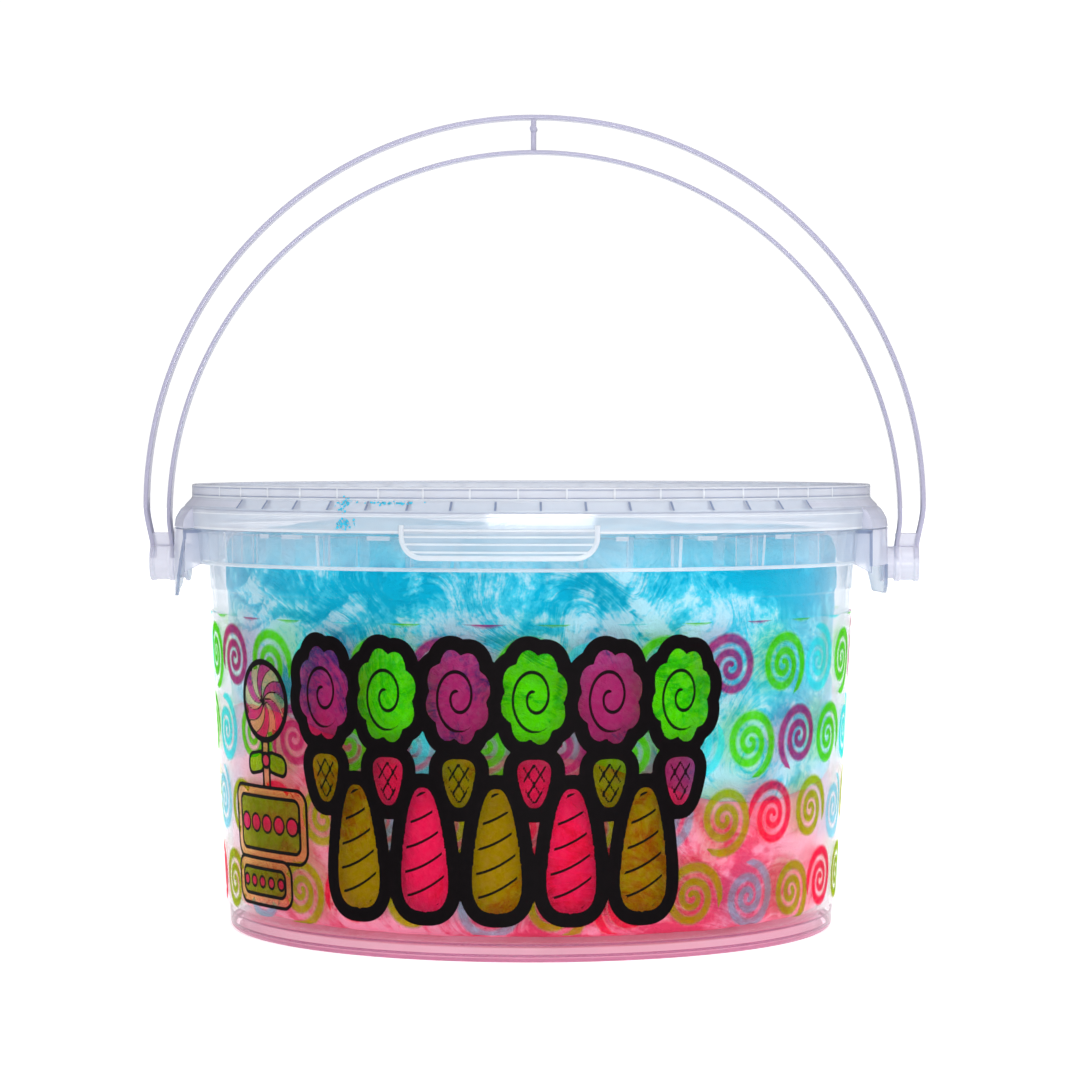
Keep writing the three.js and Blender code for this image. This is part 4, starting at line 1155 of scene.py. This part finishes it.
def handle():
    """The rails with their top tie and gate, and as edges, which take the second material, the feet."""
    inner_top, outer_top = (radius + centre_z for radius, centre_z, _, _ in (INNER_RAIL, OUTER_RAIL))
    top = tie(rounded_box(-0.6, 0.6, inner_top, outer_top, 0.3), HANDLE_DEPTH - 0.4)
    turn = np.arange(24) * math.pi / 12
    depth = np.array([-2.7, -2.4, 2.4, 2.7])[:, None]
    size = np.array([0.5, 0.9, 0.9, 0.5])[:, None]
    gate = tube(places(size * np.cos(turn), depth, GATE_Z + size * np.sin(turn)))
    points, faces, ends = together(rail(*OUTER_RAIL), rail(*INNER_RAIL), top, gate)
    feet_points, feet_faces, feet_ends = together(handle_foot(1), handle_foot(-1))
    feet = feet_points, [], feet_faces + feet_ends
    points, faces, edges = together((points, faces + ends, []), feet)
    return points + [HANDLE_SHIFT, 0, 0], faces, edges


# The rails' grey-lavender milk and tint are partly the plastic's own haze and partly painted shade, for the
# darker surroundings seen through thin clear rails.
rail_plastic = clear_plastic(
    "rail_plastic_painted_grey_shade", tints=((0.90, 0.90, 0.95), (0.74, 0.73, 0.84)), milk=(203, 200, 220),
    haze=1.2, edge_haze=0.2, gloss=0.16, grain=40.0,
)
handle_plastic = clear_plastic(
    "clear_handle_plastic", tints=((0.95, 0.95, 0.975), (0.80, 0.79, 0.88)), milk=(236, 235, 245),
    haze=0.55, gloss=0.16, grain=40.0,
)
handle_plastics = [rail_plastic, handle_plastic]
make_piece("handle_bail", handle(), handle_plastics, ["handle"], body="handle_body")

# ---- floor, light and camera ----
# A plain pale floor in a white room: the walls light the object evenly, a soft box above and a
# low strip in front put highlights on the lid, and two more boxes at the sides shape it.

FLOOR_RADII = (0.0, 0.3, 0.8, 2.0, 6.0)  # metres
FLOOR_SIDES = 96
LIGHT_AIM = Vector((0, 0, 0.07))

floor_turn = np.arange(FLOOR_SIDES) * TURN / FLOOR_SIDES
floor_radius = np.array(FLOOR_RADII)[:, None]
floor_grid = places(floor_radius * np.cos(floor_turn), floor_radius * np.sin(floor_turn), 0.0)
floor_points, (floor_quads,), _ = skin(floor_grid)
floor_mesh = bpy.data.meshes.new("studio_floor")
floor_mesh.from_pydata(floor_points.tolist(), [], floor_quads.tolist())
floor_paper, floor_tree = new_material("floor_paper")
floor_coat = {
    "Base Color": (0.9, 0.9, 0.9, 1),
    "Roughness": 0.9,
    "Specular IOR Level": 0.0,
    "Emission Color": (1, 1, 1, 1),
    "Emission Strength": 0.58,
}
finished(floor_paper, node(floor_tree, "BsdfPrincipled", floor_coat)[0])
floor_mesh.materials.append(floor_paper)
studio_floor = bpy.data.objects.new("studio_floor", floor_mesh)
bpy.context.scene.collection.objects.link(studio_floor)

world = bpy.data.worlds.new("studio")
bpy.context.scene.world = world
world.use_nodes = True
sky = world.node_tree
sky.nodes.clear()
ray = node(sky, "LightPath")
backdrop = node(sky, "Background", {"Color": (1.0, 1.0, 1.0, 1), "Strength": 1.05})[0]
sideways = node(sky, "SeparateXYZ", {0: node(sky, "TexCoord")["Generated"]})[0]
room_strength = sums(sky, "MULTIPLY_ADD", sideways, 0.28, 0.77)
room = node(sky, "Background", {"Color": (0.95, 0.96, 1.0, 1), "Strength": room_strength})[0]
mirrored = node(sky, "Background", {"Color": (0.80, 0.82, 0.92, 1), "Strength": 0.42})[0]
lighting = blend_shaders(sky, ray["Is Glossy Ray"], room, mirrored)
lighting = blend_shaders(sky, ray["Is Camera Ray"], lighting, backdrop)
node(sky, "OutputWorld", {"Surface": lighting})


def soft_box(name, place, size, power, mirrored, lights=True):
    light = bpy.data.lights.new(name, "AREA")
    light.shape = "RECTANGLE"
    light.size, light.size_y = size
    light.energy = power
    lamp = bpy.data.objects.new(name, light)
    lamp.location = place
    lamp.rotation_euler = (LIGHT_AIM - Vector(place)).to_track_quat("-Z", "Y").to_euler()
    lamp.visible_glossy = mirrored
    lamp.visible_diffuse = lights
    lamp.visible_camera = False
    bpy.context.scene.collection.objects.link(lamp)


soft_box("top_box", (0.02, -0.55, 0.85), (0.35, 0.3), 3.2, mirrored=True)
soft_box("front_strip", (0.05, -0.6, 0.03), (0.34, 0.02), 2.0, mirrored=True, lights=False)
soft_box("left_box", (-0.85, -0.65, 0.3), (0.5, 0.7), 0.1, mirrored=False)
soft_box("right_box", (0.9, -0.55, 0.3), (0.5, 0.7), 1.0, mirrored=False)

CAMERA_AZIMUTH = 2.0
CAMERA_DISTANCE = 910.0
CAMERA_HEIGHT = 119.25
FOCAL_PIXELS = 3640.0
FRAME_PIXELS = 1080.0
AXIS_OFFSET = 2.2  # how far right of the tub's axis the camera aims
HORIZON_RISE = 95.0  # pixels from the middle of the frame up to the camera's level

camera_data = bpy.data.cameras.new("camera")
camera_data.sensor_width = 36.0
camera_data.lens = FOCAL_PIXELS / FRAME_PIXELS * camera_data.sensor_width
camera_data.dof.use_dof = False
camera = bpy.data.objects.new("camera", camera_data)
bpy.context.scene.collection.objects.link(camera)
bpy.context.scene.camera = camera
camera_place = around(CAMERA_AZIMUTH, CAMERA_DISTANCE, CAMERA_HEIGHT)
aim_height = CAMERA_HEIGHT - CAMERA_DISTANCE * HORIZON_RISE / FOCAL_PIXELS
camera_aim = around(CAMERA_AZIMUTH + 90, AXIS_OFFSET, aim_height)
camera.location = Vector((camera_place * MM).tolist())
camera_way = Vector(((camera_aim - camera_place) * MM).tolist())
camera.rotation_euler = camera_way.to_track_quat("-Z", "Y").to_euler()

bpy.context.scene.cycles.transparent_max_bounces = 40
bpy.context.scene.view_settings.view_transform = "Standard"
